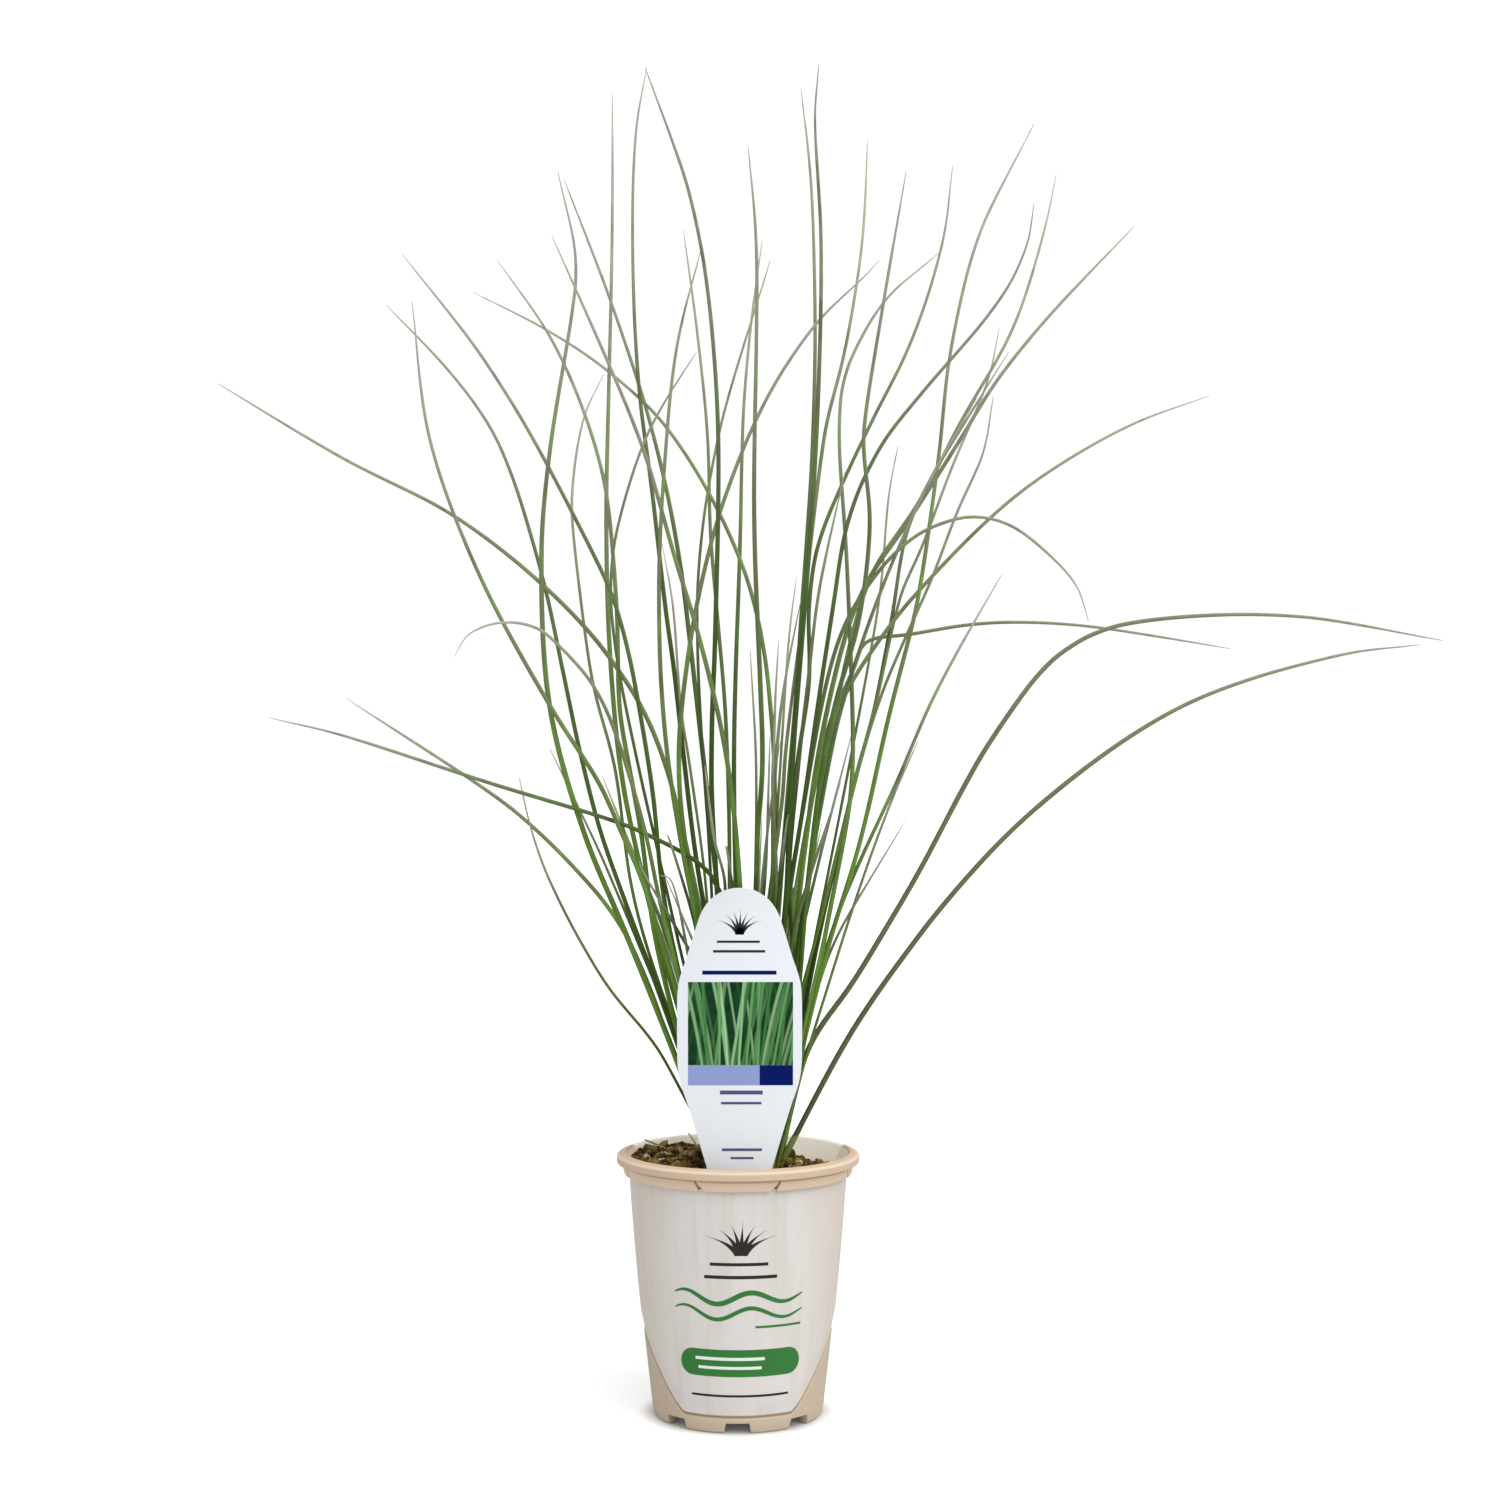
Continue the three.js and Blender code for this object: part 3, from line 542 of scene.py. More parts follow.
class Recipe:
    """A material that is built up from a few named steps."""

    def __init__(self, name, roughness=0.5, specular=0.5):
        self.material = bpy.data.materials.new(name)
        self.material.use_nodes = True
        self.tree = self.material.node_tree
        self.shader = self.tree.nodes["Principled BSDF"]
        self.shader.inputs["Roughness"].default_value = roughness
        self.shader.inputs["Specular IOR Level"].default_value = specular

    def node(self, kind, **settings):
        made = self.tree.nodes.new(kind)
        for key, value in settings.items():
            setattr(made, key, value)
        return made

    def feed(self, socket, value):
        """Links another node's output to a socket, or sets the socket to a plain value."""
        if isinstance(value, bpy.types.NodeSocket):
            self.tree.links.new(value, socket)
        elif socket.type == "RGBA" and len(value) == 3:
            socket.default_value = (*value, 1)
        else:
            socket.default_value = value

    def spots(self, scale=(1, 1, 1)):
        """Places on the object, in metres times scale."""
        coordinates = self.node("ShaderNodeTexCoord")
        mapping = self.node("ShaderNodeMapping")
        mapping.inputs["Scale"].default_value = scale
        self.feed(mapping.inputs["Vector"], coordinates.outputs["Object"])
        return mapping.outputs["Vector"]

    def noise(self, spots, scale, detail=3.0, roughness=0.55, distortion=0.0):
        made = self.node("ShaderNodeTexNoise")
        self.feed(made.inputs["Vector"], spots)
        for key, value in (("Scale", scale), ("Detail", detail), ("Roughness", roughness)):
            made.inputs[key].default_value = value
        made.inputs["Distortion"].default_value = distortion
        return made.outputs["Fac"]

    def cells(self, spots, scale, output="Distance", dimensions="3D"):
        made = self.node("ShaderNodeTexVoronoi", voronoi_dimensions=dimensions)
        self.feed(made.inputs["W" if dimensions == "1D" else "Vector"], spots)
        made.inputs["Scale"].default_value = scale
        return made.outputs[output]

    def split(self, vector):
        """A vector's X, Y and Z."""
        parts = self.node("ShaderNodeSeparateXYZ")
        self.feed(parts.inputs[0], vector)
        return [parts.outputs[key] for key in "XYZ"]

    def about_axis(self):
        """X and Y from the pot's axis and the height over the floor, in metres."""
        made = self.node("ShaderNodeVectorMath", operation="SUBTRACT")
        self.feed(made.inputs[0], self.node("ShaderNodeTexCoord").outputs["Object"])
        made.inputs[1].default_value = tuple(AXIS)
        return self.split(made.outputs["Vector"])

    def from_axis(self):
        """Distance from the pot's axis and height over the floor, in metres."""
        x, y, z = self.about_axis()
        return self.maths("SQRT", self.plus(self.times(x, x), self.times(y, y))), z

    def mark(self, name):
        """A number kept in the mesh's points."""
        return self.node("ShaderNodeAttribute", attribute_name=name).outputs["Fac"]

    def maths(self, operation, one, other=0.0):
        """The outcome of one operation on two numbers, or on one."""
        made = self.node("ShaderNodeMath", operation=operation)
        self.feed(made.inputs[0], one)
        self.feed(made.inputs[1], other)
        return made.outputs[0]

    def chain(self, operation, value, *others):
        """One operation after another on a value, with each of the others in turn."""
        for other in others:
            value = self.maths(operation, value, other)
        return value

    def times(self, *values):
        return self.chain("MULTIPLY", *values)

    def plus(self, *values):
        return self.chain("ADD", *values)

    def between(self, value, low, high):
        """value's share of the way from low to high, from 0 to 1 and smooth."""
        made = self.node("ShaderNodeMapRange", interpolation_type="SMOOTHSTEP")
        self.feed(made.inputs["Value"], value)
        made.inputs["From Min"].default_value = low
        made.inputs["From Max"].default_value = high
        return made.outputs["Result"]

    def ramp(self, factor, stops):
        made = self.node("ShaderNodeValToRGB")
        elements = made.color_ramp.elements
        while len(elements) < len(stops):
            elements.new(0.5)
        for element, (position, shade) in zip(elements, stops):
            element.position = position
            element.color = (*shade, 1)
        self.feed(made.inputs["Fac"], factor)
        return made.outputs["Color"]

    def blend(self, factor, one, other):
        made = self.node("ShaderNodeMix", data_type="RGBA")
        self.feed(made.inputs["Factor"], factor)
        self.feed(made.inputs["A"], one)
        self.feed(made.inputs["B"], other)
        return made.outputs["Result"]

    def lit(self, shade, factor):
        """shade times a grey that goes with the factor."""
        made = self.node("ShaderNodeVectorMath", operation="SCALE")
        self.feed(made.inputs[0], shade)
        self.feed(made.inputs["Scale"], factor)
        return made.outputs["Vector"]

    def range(self, value, low, high):
        """value from 0 to 1 as a number from low to high."""
        made = self.node("ShaderNodeMapRange")
        self.feed(made.inputs["Value"], value)
        made.inputs["To Min"].default_value = low
        made.inputs["To Max"].default_value = high
        return made.outputs["Result"]

    def shaded(self, shade, value, low, high):
        """shade times a grey that goes from low to high with the value."""
        return self.lit(shade, self.range(value, low, high))

    def bump(self, height, millimetres, strength=1.0, under=None):
        made = self.node("ShaderNodeBump")
        made.inputs["Distance"].default_value = millimetres * MM
        made.inputs["Strength"].default_value = strength
        self.feed(made.inputs["Height"], height)
        if under is not None:
            self.feed(made.inputs["Normal"], under)
        return made.outputs["Normal"]

    def glow(self, shade, strength):
        """Makes the material give off light by itself."""
        self.feed(self.shader.inputs["Emission Color"], shade)
        self.feed(self.shader.inputs["Emission Strength"], strength)

    def done(self, colour=None, roughness=None, normal=None):
        for key, value in (("Base Color", colour), ("Roughness", roughness), ("Normal", normal)):
            if value is not None:
                self.feed(self.shader.inputs[key], value)
        return self.material


def fibre_colour(recipe, settings):
    """Moulded plant fibre: soft clouds, fine level lines, pale fibres and small dark flecks."""
    clouds = recipe.noise(recipe.spots(), 45, 4)
    grain = recipe.noise(recipe.spots((1, 1, 3)), 900, 3, 0.6)
    lines = recipe.noise(recipe.spots((0.04, 0.04, 1)), 1100, 2)
    fibres = recipe.noise(recipe.spots((1, 1, 4)), 620, 2, 0.5, 0.8)
    flecks = recipe.cells(recipe.spots((1, 1, 1.6)), 900)
    _, _, height = recipe.about_axis()
    head = recipe.between(height, 0.03, 0.12)
    ground = recipe.blend(head, settings.foot, settings.fibre)
    colour = recipe.shaded(ground, clouds, 0.93, 1.07)
    pale = recipe.times(recipe.between(fibres, 0.58, 0.76), 0.5)
    colour = recipe.blend(pale, colour, settings.pale)
    few = recipe.between(recipe.noise(recipe.spots(), 260, 1), 0.5, 0.66)
    dots = recipe.times(recipe.between(flecks, 0.24, 0.08), few, 0.5)
    colour = recipe.blend(dots, colour, settings.fleck)
    colour = recipe.shaded(colour, lines, 0.955, 1.045)
    colour = recipe.shaded(colour, grain, 0.94, 1.06)
    # The crease mark paints shade into the groove under the label's edge.
    return recipe.blend(recipe.mark("crease"), colour, settings.crease), grain, lines


def fibre_material(settings):
    recipe = Recipe("moulded_fibre", specular=0.4)
    colour, grain, lines = fibre_colour(recipe, settings)
    reach, height = recipe.from_axis()
    # Painted light: the skirt under the lip is made up to 22 percent lighter, against the shade that the
    # lip casts on it.
    skirt = recipe.between(height, (LIP_BOTTOM + 0.2) * MM, (LIP_BOTTOM - 0.4) * MM)
    skirt = recipe.times(skirt, recipe.between(height, FLARE_BOTTOM * MM, (FLARE_BOTTOM + 0.5) * MM))
    colour = recipe.shaded(colour, skirt, 1.0, 1.22)
    crown = recipe.times(recipe.between(height, (LIP_TOP + 0.15) * MM, (LIP_TOP + 0.6) * MM), 0.75)
    # Painted highlight: a lighter band along the lip's upper outer edge.
    high = recipe.between(height, (LIP_TOP - 1.1) * MM, (LIP_TOP - 0.3) * MM)
    outer = recipe.between(reach, (LIP_RADIUS - 2.2) * MM, (LIP_RADIUS - 0.9) * MM)
    colour = recipe.blend(recipe.times(high, outer, 0.8), colour, settings.painted_highlight)
    colour = recipe.blend(crown, colour, recipe.shaded(settings.crown, grain, 0.82, 1.0))
    normal = recipe.bump(grain, 0.05, 0.5)
    normal = recipe.bump(lines, 0.04, 0.4, normal)
    return recipe.done(colour, recipe.range(grain, 0.5, 0.68), normal)


def lining_material(settings):
    """The pot's inner face: pale at the back and the front, bare fibre at both sides, lit up by a painted
    glow and lightened fibre.
    """
    recipe = Recipe("pot_lining", specular=0.3)
    fibre, grain, _ = fibre_colour(recipe, settings)
    x, y, _ = recipe.about_axis()
    angle = recipe.maths("ARCTAN2", recipe.maths("ABSOLUTE", x), recipe.maths("ABSOLUTE", y))
    bare = recipe.between(angle, *map(math.radians, LINING_END))
    pale = recipe.shaded(settings.lining, grain, 0.95, 1.05)
    normal = recipe.bump(grain, 0.04, 0.4)
    # Painted light: the lining glows a little by itself, to light up the shaded inside of the pot.
    recipe.glow(settings.lining, 0.2)
    # Painted light: the bare fibre inside is the outer fibre made 1.3 times lighter, against the shade
    # inside the pot.
    return recipe.done(recipe.blend(bare, pale, recipe.lit(fibre, 1.3)), 0.6, normal)


def label_material(settings):
    recipe = Recipe("label_wrap", roughness=0.42, specular=0.45)
    streaks = recipe.noise(recipe.spots((1, 1, 0.03)), 150, 3)
    clouds = recipe.noise(recipe.spots(), 30, 3)
    fine = recipe.noise(recipe.spots((0.4, 0.4, 6)), 420, 2)
    colour = recipe.blend(recipe.between(streaks, 0.4, 0.72), settings.wrap, settings.shade)
    colour = recipe.shaded(colour, clouds, 0.975, 1.02)
    # Painted shade and warm reflected light: the wrap turns darker and warmer towards the pot's sides.
    x, _, _ = recipe.about_axis()
    side = recipe.times(recipe.between(recipe.maths("ABSOLUTE", x), 0.026, 0.05), 0.6)
    colour = recipe.blend(side, colour, settings.side)
    normal = recipe.bump(fine, 0.03, 0.25)
    normal = recipe.bump(streaks, 0.05, 0.15, normal)
    return recipe.done(colour, recipe.range(fine, 0.42, 0.54), normal)


def print_material(name, shade, roughness=0.42):
    """Printed ink: nearly even, with the faint mottle of print on a fibrous ground."""
    recipe = Recipe(name, roughness=roughness, specular=0.06)
    mottle = recipe.noise(recipe.spots(), 900, 3)
    return recipe.done(recipe.shaded(shade, mottle, 0.92, 1.08))


def crumb_material(settings):
    """Potting mix: each crumb has its own tone, from damp dark to dry brown, some with moss on top."""
    recipe = Recipe("potting_crumbs", specular=0.06)
    tone = recipe.mark("tone")
    grain = recipe.noise(recipe.spots(), 1500, 4, 0.65)
    patches = recipe.noise(recipe.spots(), 150, 3)
    colour = recipe.ramp(
        recipe.plus(recipe.times(tone, 0.75), recipe.times(grain, 0.3)),
        [
            (0.16, settings.dark), (0.5, tint(104, 80, 44)), (0.78, settings.brown),
            (1.0, settings.straw),
        ],
    )
    green = recipe.times(recipe.between(patches, 0.48, 0.62), 0.65)
    colour = recipe.blend(green, colour, recipe.shaded(settings.olive, grain, 0.35, 1.1))
    normal = recipe.bump(grain, 0.5, 0.8)
    return recipe.done(colour, recipe.range(grain, 0.8, 0.98), normal)


def moss_material(settings):
    recipe = Recipe("moss", roughness=0.75, specular=0.2)
    tone = recipe.mark("tone")
    colour = recipe.ramp(
        tone,
        [(0.0, tint(96, 92, 36)), (0.45, settings.olive), (0.8, tint(206, 200, 130)),
         (1.0, tint(224, 214, 164))],
    )
    return recipe.done(recipe.shaded(colour, recipe.noise(recipe.spots(), 800), 0.7, 1.2))


def straw_material(settings):
    recipe = Recipe("dry_straw", roughness=0.6, specular=0.3)
    tone = recipe.mark("tone")
    stripes = recipe.noise(recipe.spots(), 1400, 2)
    colour = recipe.ramp(
        tone, [(0.0, tint(96, 72, 44)), (0.5, settings.straw), (1.0, tint(200, 186, 150))]
    )
    colour = recipe.shaded(colour, stripes, 0.75, 1.15)
    return recipe.done(colour, normal=recipe.bump(stripes, 0.1, 0.5))


def tag_material(settings):
    recipe = Recipe("tag_plastic", roughness=0.33, specular=0.45)
    haze = recipe.noise(recipe.spots(), 40, 3)
    grain = recipe.noise(recipe.spots(), 1200, 2)
    colour = recipe.shaded(settings.white, haze, 0.985, 1.015)
    return recipe.done(colour, recipe.range(haze, 0.28, 0.38), recipe.bump(grain, 0.01, 0.25))


def panel_material(settings):
    """A plain green pattern of upright blades: rows of tapering strips over a dark ground."""
    recipe = Recipe("tag_panel", roughness=0.34, specular=0.06)
    across, _, height = recipe.about_axis()
    up = recipe.maths("SUBTRACT", height, PANEL_FOOT * MM)
    drift = recipe.times(recipe.noise(recipe.spots(), 34, 0), 0.0022)
    colour = recipe.blend(recipe.noise(recipe.spots(), 200, 2), settings.gap, tint(24, 74, 44))
    for lean, fan, scale, offset, reach, light in (
        (0.22, 3, 320, 0.113, 0.31, 0.36), (-0.24, 2, 310, 0.231, 0.3, 0.5),
        (0.12, 5, 300, 0.057, 0.27, 0.74), (-0.15, 6, 280, 0.183, 0.26, 0.98),
        (0.04, 9, 260, 0.33, 0.24, 1.15), (-0.05, 8, 230, 0.41, 0.17, 1.34),
    ):
        fanned = recipe.maths("DIVIDE", across, recipe.plus(recipe.times(up, fan), 1.0))
        line = recipe.plus(fanned, recipe.times(up, lean), drift, offset)
        distance = recipe.cells(line, scale, dimensions="1D")
        grey = recipe.node("ShaderNodeSeparateColor")
        recipe.feed(grey.inputs[0], recipe.cells(line, scale, output="Color", dimensions="1D"))
        blade = recipe.ramp(
            grey.outputs[0],
            [(0.0, tint(44, 96, 48)), (0.5, tint(82, 134, 78)), (1.0, settings.blade)],
        )
        edge = recipe.between(distance, reach, reach * 0.7)
        edge = recipe.times(edge, recipe.between(grey.outputs[1], 0.42, 0.48))
        rounding = recipe.range(recipe.between(distance, reach, 0.02), 0.62 * light, 1.1 * light)
        colour = recipe.blend(edge, colour, recipe.lit(blade, rounding))
    return recipe.done(colour)


def culm_material(settings):
    """A culm: bright at the root, deep green, grey green above, dry at the tip, finely ribbed."""
    recipe = Recipe("culm_green", specular=0.12)
    rise = recipe.mark("rise")
    tone = recipe.mark("tone")
    dry = recipe.mark("dry")
    olive = recipe.mark("olive")
    uv = recipe.node("ShaderNodeUVMap", uv_map="Stem")
    round_culm, _, _ = recipe.split(uv.outputs["UV"])
    mottle = recipe.noise(recipe.spots((1, 1, 0.25)), 260, 3)
    colour = recipe.ramp(
        recipe.plus(rise, recipe.times(recipe.maths("SUBTRACT", mottle, 0.5), 0.12)),
        [
            (0.0, settings.base), (0.16, tint(98, 140, 44)), (0.38, settings.middle),
            (0.7, settings.upper), (0.95, tint(182, 180, 168)), (1.0, settings.tips),
        ],
    )
    drift = recipe.noise(recipe.spots((1, 1, 0.3)), 70, 2)
    light = recipe.times(recipe.between(drift, 0.5, 0.64), 0.6, recipe.range(rise, 1.0, 0.35))
    colour = recipe.blend(light, colour, recipe.shaded(settings.bright, rise, 0.9, 1.6))
    brown = recipe.times(recipe.between(drift, 0.43, 0.3), 0.5)
    colour = recipe.blend(brown, colour, settings.patch)
    upper = recipe.between(rise, 0.4, 0.85)
    deep = recipe.times(recipe.between(tone, 0.55, 0.2), 0.88, recipe.range(upper, 1.0, 0.25))
    colour = recipe.blend(deep, colour, recipe.shaded(settings.deep, rise, 0.85, 2.6))
    arch = recipe.shaded(settings.arch, rise, 0.55, 1.3)
    colour = recipe.blend(recipe.times(olive, 0.75), colour, arch)
    colour = recipe.blend(dry, colour, settings.dry)
    ribs = recipe.maths("SINE", recipe.times(round_culm, TURN * 16))
    colour = recipe.shaded(colour, ribs, 0.96, 1.04)
    colour = recipe.shaded(colour, mottle, 0.82, 1.16)
    normal = recipe.bump(ribs, 0.03, 0.5)
    return recipe.done(colour, recipe.range(mottle, 0.4, 0.58), normal)


def sheath_material(settings):
    """The scale sheath round a culm's root: dark brown in the soil, straw or green at its edge."""
    recipe = Recipe("culm_sheath", specular=0.4)
    rise = recipe.mark("rise")
    tone = recipe.mark("tone")
    streaks = recipe.noise(recipe.spots((1, 1, 0.12)), 900, 2)
    brown = recipe.ramp(
        rise, [(0.0, settings.brown), (0.45, tint(112, 74, 42)), (1.0, tint(150, 128, 82))]
    )
    green = recipe.ramp(
        rise, [(0.0, tint(112, 96, 48)), (0.4, tint(112, 130, 54)), (1.0, tint(130, 150, 76))]
    )
    colour = recipe.blend(tone, brown, green)
    colour = recipe.shaded(colour, streaks, 0.75, 1.2)
    return recipe.done(colour, 0.45, recipe.bump(streaks, 0.05, 0.4))


def floor_material(settings):
    recipe = Recipe("pale_floor", roughness=0.9, specular=0.1)
    mottle = recipe.noise(recipe.spots(), 3, 2)
    reach, _ = recipe.from_axis()
    open_floor = recipe.between(reach, *(far * MM for far in GLOW_REACH))
    glow = recipe.range(open_floor, GLOW_UNDER, settings.glow)
    seen = recipe.node("ShaderNodeLightPath").outputs["Is Camera Ray"]
    recipe.glow((1, 1, 1), recipe.times(glow, seen))
    return recipe.done(recipe.shaded(settings.floor, mottle, 0.995, 1.005))


# Pot


def wall_radius(z):
    """The wall's outer face, which swells a little between its foot and its head."""
    share = (z - WALL_FOOT[1]) / (WALL_HEAD[1] - WALL_FOOT[1])
    swell = math.sin(math.pi * min(1.0, max(0.0, share)))
    return WALL_FOOT[0] + share * (WALL_HEAD[0] - WALL_FOOT[0]) + WALL_BULGE * swell


def inner_radius(z):
    """The inner face is straight and flares out under the rim."""
    share = (min(z, FLARE_BOTTOM) - WALL_FOOT[1]) / (WALL_HEAD[1] - WALL_FOOT[1])
    wall = WALL_FOOT[0] + share * (WALL_HEAD[0] - WALL_FOOT[0]) - WALL_THICK
    flare = (RIM_INSIDE[0] - wall) / (RIM_INSIDE[1] - FLARE_BOTTOM)
    return wall + flare * max(0.0, z - FLARE_BOTTOM)


def off_middle(angle):
    """The angle from the pot's front or back, whichever is nearer."""
    from_front = abs(math.atan2(math.sin(angle), math.cos(angle)))
    return min(from_front, math.pi - from_front)


def label_edge(angle):
    """Height of the label's lower edge, which arches up at both sides."""
    share = max(0.0, (off_middle(angle) - LABEL_CORNER) / (math.pi / 2 - LABEL_CORNER))
    return LABEL_LOW + LABEL_ARCH * math.sin(share * math.pi / 2) ** 1.25


def rib_at(angle):
    """The inner face's four faint upright ribs, where its pale lining ends."""
    away = (math.degrees(off_middle(angle)) - RIB_ANGLE) / RIB_WIDTH
    return RIB_HIGH * math.exp(-(away**2))


def climb(low, high, rows, back):
    """Places up the wall, as far behind its line as back says for each height."""
    heights = [low + (high - low) * row / rows for row in range(1, rows + 1)]
    return [(wall_radius(z) - back(z), z) for z in heights]


def pot_section(angle, sunk):
    """The pot's section at an angle, from the middle underneath, out, up and back to the middle."""
    edge = label_edge(angle)
    rib = rib_at(angle)
    foot = rounded([
        (0, FLOOR_UNDER, 0), (FLOOR_RING, FLOOR_UNDER, 0), (FLOOR_EDGE, FLOOR_UNDER, 0.8),
        (FOOT_INNER, 0, 0.5), (FOOT_OUTER, 0, 0.6), (FOOT_OUTER + FOOT_CORNER, FOOT_CORNER, 0.6),
        (*WALL_FOOT, 0),
    ])
    wing = climb(FLOOR_UNDER, edge - CREASE_TOP, 14, lambda z: sunk * ease(FLOOR_UNDER, WING_FULL, z))
    crease = [(wall_radius(edge - below) - depth, edge - below) for below, depth in CREASE]
    at_edge = wall_radius(edge)
    shelf = edge + 0.6
    top = LABEL_TOP + 0.4
    step = rounded([
        (*crease[-1], 0), (at_edge - 0.58, edge - 0.05, 0.05), (at_edge - WALL_UNDER, edge + 0.02, 0.05),
        (wall_radius(shelf) - WALL_UNDER, shelf, 0),
    ])[1:]
    under = climb(shelf, top, 8, lambda z: WALL_UNDER)
    head = rounded([
        (wall_radius(LABEL_TOP) + 0.05, top, 0), (*WALL_HEAD, 0.3), (SKIRT_INNER - 0.5, SKIRT_ROOF, 0.3),
        (SKIRT_INNER, SKIRT_ROOF - 0.4, 0.3), (SKIRT_INNER, SKIRT_BOTTOM, 0.35),
        (SKIRT_OUTER, SKIRT_BOTTOM, 0.5), (SKIRT_HEAD - 0.3, LIP_BOTTOM - 1.1, 0.3),
        (SKIRT_HEAD - 0.9, LIP_BOTTOM - 0.7, 0.3), (SKIRT_HEAD - 0.9, LIP_BOTTOM, 0.3),
        (LIP_RADIUS, LIP_BOTTOM, 0.6), (LIP_RADIUS, LIP_TOP, 0.9),
        (*RIM_SHOULDER, 0.6), (*RIM_CREST, 0.5), (*RIM_INSIDE, 0.5),
        (inner_radius(FLARE_BOTTOM) - rib, FLARE_BOTTOM, 2.0),
        (inner_radius(RIB_FADE[0]) - rib, RIB_FADE[0], 0), (inner_radius(RIB_FADE[1]), RIB_FADE[1], 0),
        (inner_radius(INNER_FOOT), INNER_FOOT, 0.8),
        (inner_radius(INNER_FOOT) - INNER_CORNER, FLOOR_TOP, 0.8),
        (FLOOR_RING, FLOOR_TOP, 0), (0, FLOOR_TOP, 0),
    ])
    return foot + wing + crease + step + under + head


def wedge(shape, side, turn):
    """One slot's cutter: a block whose sides lean, and which reaches a little lower than the skirt."""
    rise = LIP_BOTTOM - SKIRT_BOTTOM
    outline = []
    for foot, head in zip(SLOT_FOOT, SLOT_HEAD):
        outline.append((foot - (head - foot) * CUT_DROP / rise, SKIRT_BOTTOM - CUT_DROP))
        outline.append((head, LIP_BOTTOM - 0.1))
    outline = [outline[index] for index in (0, 2, 3, 1)]
    near, far = [
        [shape.verts.new(turn @ Vector((side * u, -reach, z))) for u, z in outline]
        for reach in (SLOT_NEAR, SLOT_FAR)
    ]
    shape.faces.new(near)
    shape.faces.new(far[::-1])
    for one in range(4):
        other = (one + 1) % 4
        shape.faces.new((near[other], near[one], far[one], far[other]))


def cutters():
    """Slots in the skirt, notches in the foot and holes in the floor, as one cutting shape."""
    shape = bmesh.new()
    for quarter in range(4):
        for side in (-1, 1):
            wedge(shape, side, Matrix.Rotation(quarter * math.pi / 2 + side * SLOT_ANGLE, 4, "Z"))
    for place in range(NOTCH_COUNT):
        made = bmesh.ops.create_cube(shape, size=1)["verts"]
        for corner in made:
            half = (NOTCH_TOP if corner.co.z > 0 else NOTCH_BOTTOM) / 2
            corner.co.x = math.copysign(half, corner.co.x)
            corner.co.y = -NOTCH_NEAR if corner.co.y > 0 else -NOTCH_FAR
            corner.co.z = NOTCH_HEIGHT if corner.co.z > 0 else -CUT_DROP
        turn = Matrix.Rotation(place * TURN / NOTCH_COUNT, 4, "Z")
        bmesh.ops.transform(shape, matrix=turn, verts=made)
    middle, length = DRAIN_CUT
    drains = [polar(DRAIN_CIRCLE, (place + 0.5) * TURN / DRAIN_COUNT) for place in range(DRAIN_COUNT)]
    for x, y in [*drains, (0, 0)]:
        bmesh.ops.create_cone(
            shape, cap_ends=True, segments=32, radius1=DRAIN_RADIUS, radius2=DRAIN_RADIUS,
            depth=length, matrix=Matrix.Translation((x, y, middle)),
        )
    return from_shape("cutters", shape)


def crease_shade_share(x, y, z):
    """How deep a place on the pot lies in the crease at the label, from 0 to 1, which sets how much painted
    shade it gets.
    """
    if math.hypot(x, y) < wall_radius(z) - 1.2 or z > LABEL_TOP - 5:
        return 0.0
    below = label_edge(math.atan2(x, -y)) - z
    return math.exp(-(((below - CREASE_MIDDLE) / CREASE_SPREAD) ** 2))


def make_pot(settings):
    points, faces = ring_grid(
        lambda angle: pot_section(angle, settings.sunk / MM), even_angles(settings.turns), False
    )
    pot = turned(add_mesh("fibre_pot", points, faces), joined=True)
    cutter = cutters()
    cut = pot.modifiers.new("openings", "BOOLEAN")
    cut.operation = "DIFFERENCE"
    cut.solver = "EXACT"
    cut.object = cutter
    bevelled(pot, settings.edge, 2, 38)
    finished(pot, "moulded_fibre", [fibre_material(settings), lining_material(settings)])
    bpy.data.objects.remove(cutter)
    # Marks the groove under the label, where shade is painted.
    mark_points(pot, "crease", [crease_shade_share(*in_millimetres(spot.co)) for spot in pot.data.vertices])
    for face in pot.data.polygons:
        x, y, z = in_millimetres(face.center)
        inside = math.hypot(x, y) < inner_radius(z) + 0.2 and z < RIM_INSIDE[1] - 0.3
        crest = y > CREST_BACK and z > RIM_INSIDE[1] - 0.4 and math.hypot(x, y) < RIM_CREST[0] + 0.3
        # Lining faces, the pale crest at the back among them, take the lining's painted glow.
        face.material_index = 1 if z > FLOOR_TOP - 0.1 and (inside or crest) else 0
    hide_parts("pot")


# Label


def label_radius(angle, z):
    """Outer radius of the wrap, whose end laps over its start at the back."""
    from_back = angle - math.pi
    lap = LAP_HIGH * ease(*LAP_TURN, from_back) if from_back < 0 else 0.0
    swell = LABEL_SWELL[0] + (LABEL_SWELL[1] - LABEL_SWELL[0]) * ease(*SWELL_REACH, z)
    dip = (swell + LABEL_DIP) * (1 - ease(0, LABEL_DIP_REACH, z - label_edge(angle)))
    return wall_radius(z) + swell - dip + lap


def label_section(angle):
    """The wrap's section at an angle: up its face, whose rows are closer low down, and down its back."""
    low = label_edge(angle) + LABEL_GAP
    outer = []
    inner = []
    for row in range(LABEL_ROWS + 1):
        z = low + (LABEL_TOP - low) * (row / LABEL_ROWS) ** 1.6
        inset = LABEL_INSET if row in (0, LABEL_ROWS) else 0.0
        outer.append((label_radius(angle, z) - inset, z))
        if row == 0:
            above = z + LABEL_ROUND
            outer.append((label_radius(angle, above), above))
        if row % 4 == 0:
            inner.append((wall_radius(z) - LABEL_BACK, z))
    return outer + inner[::-1]


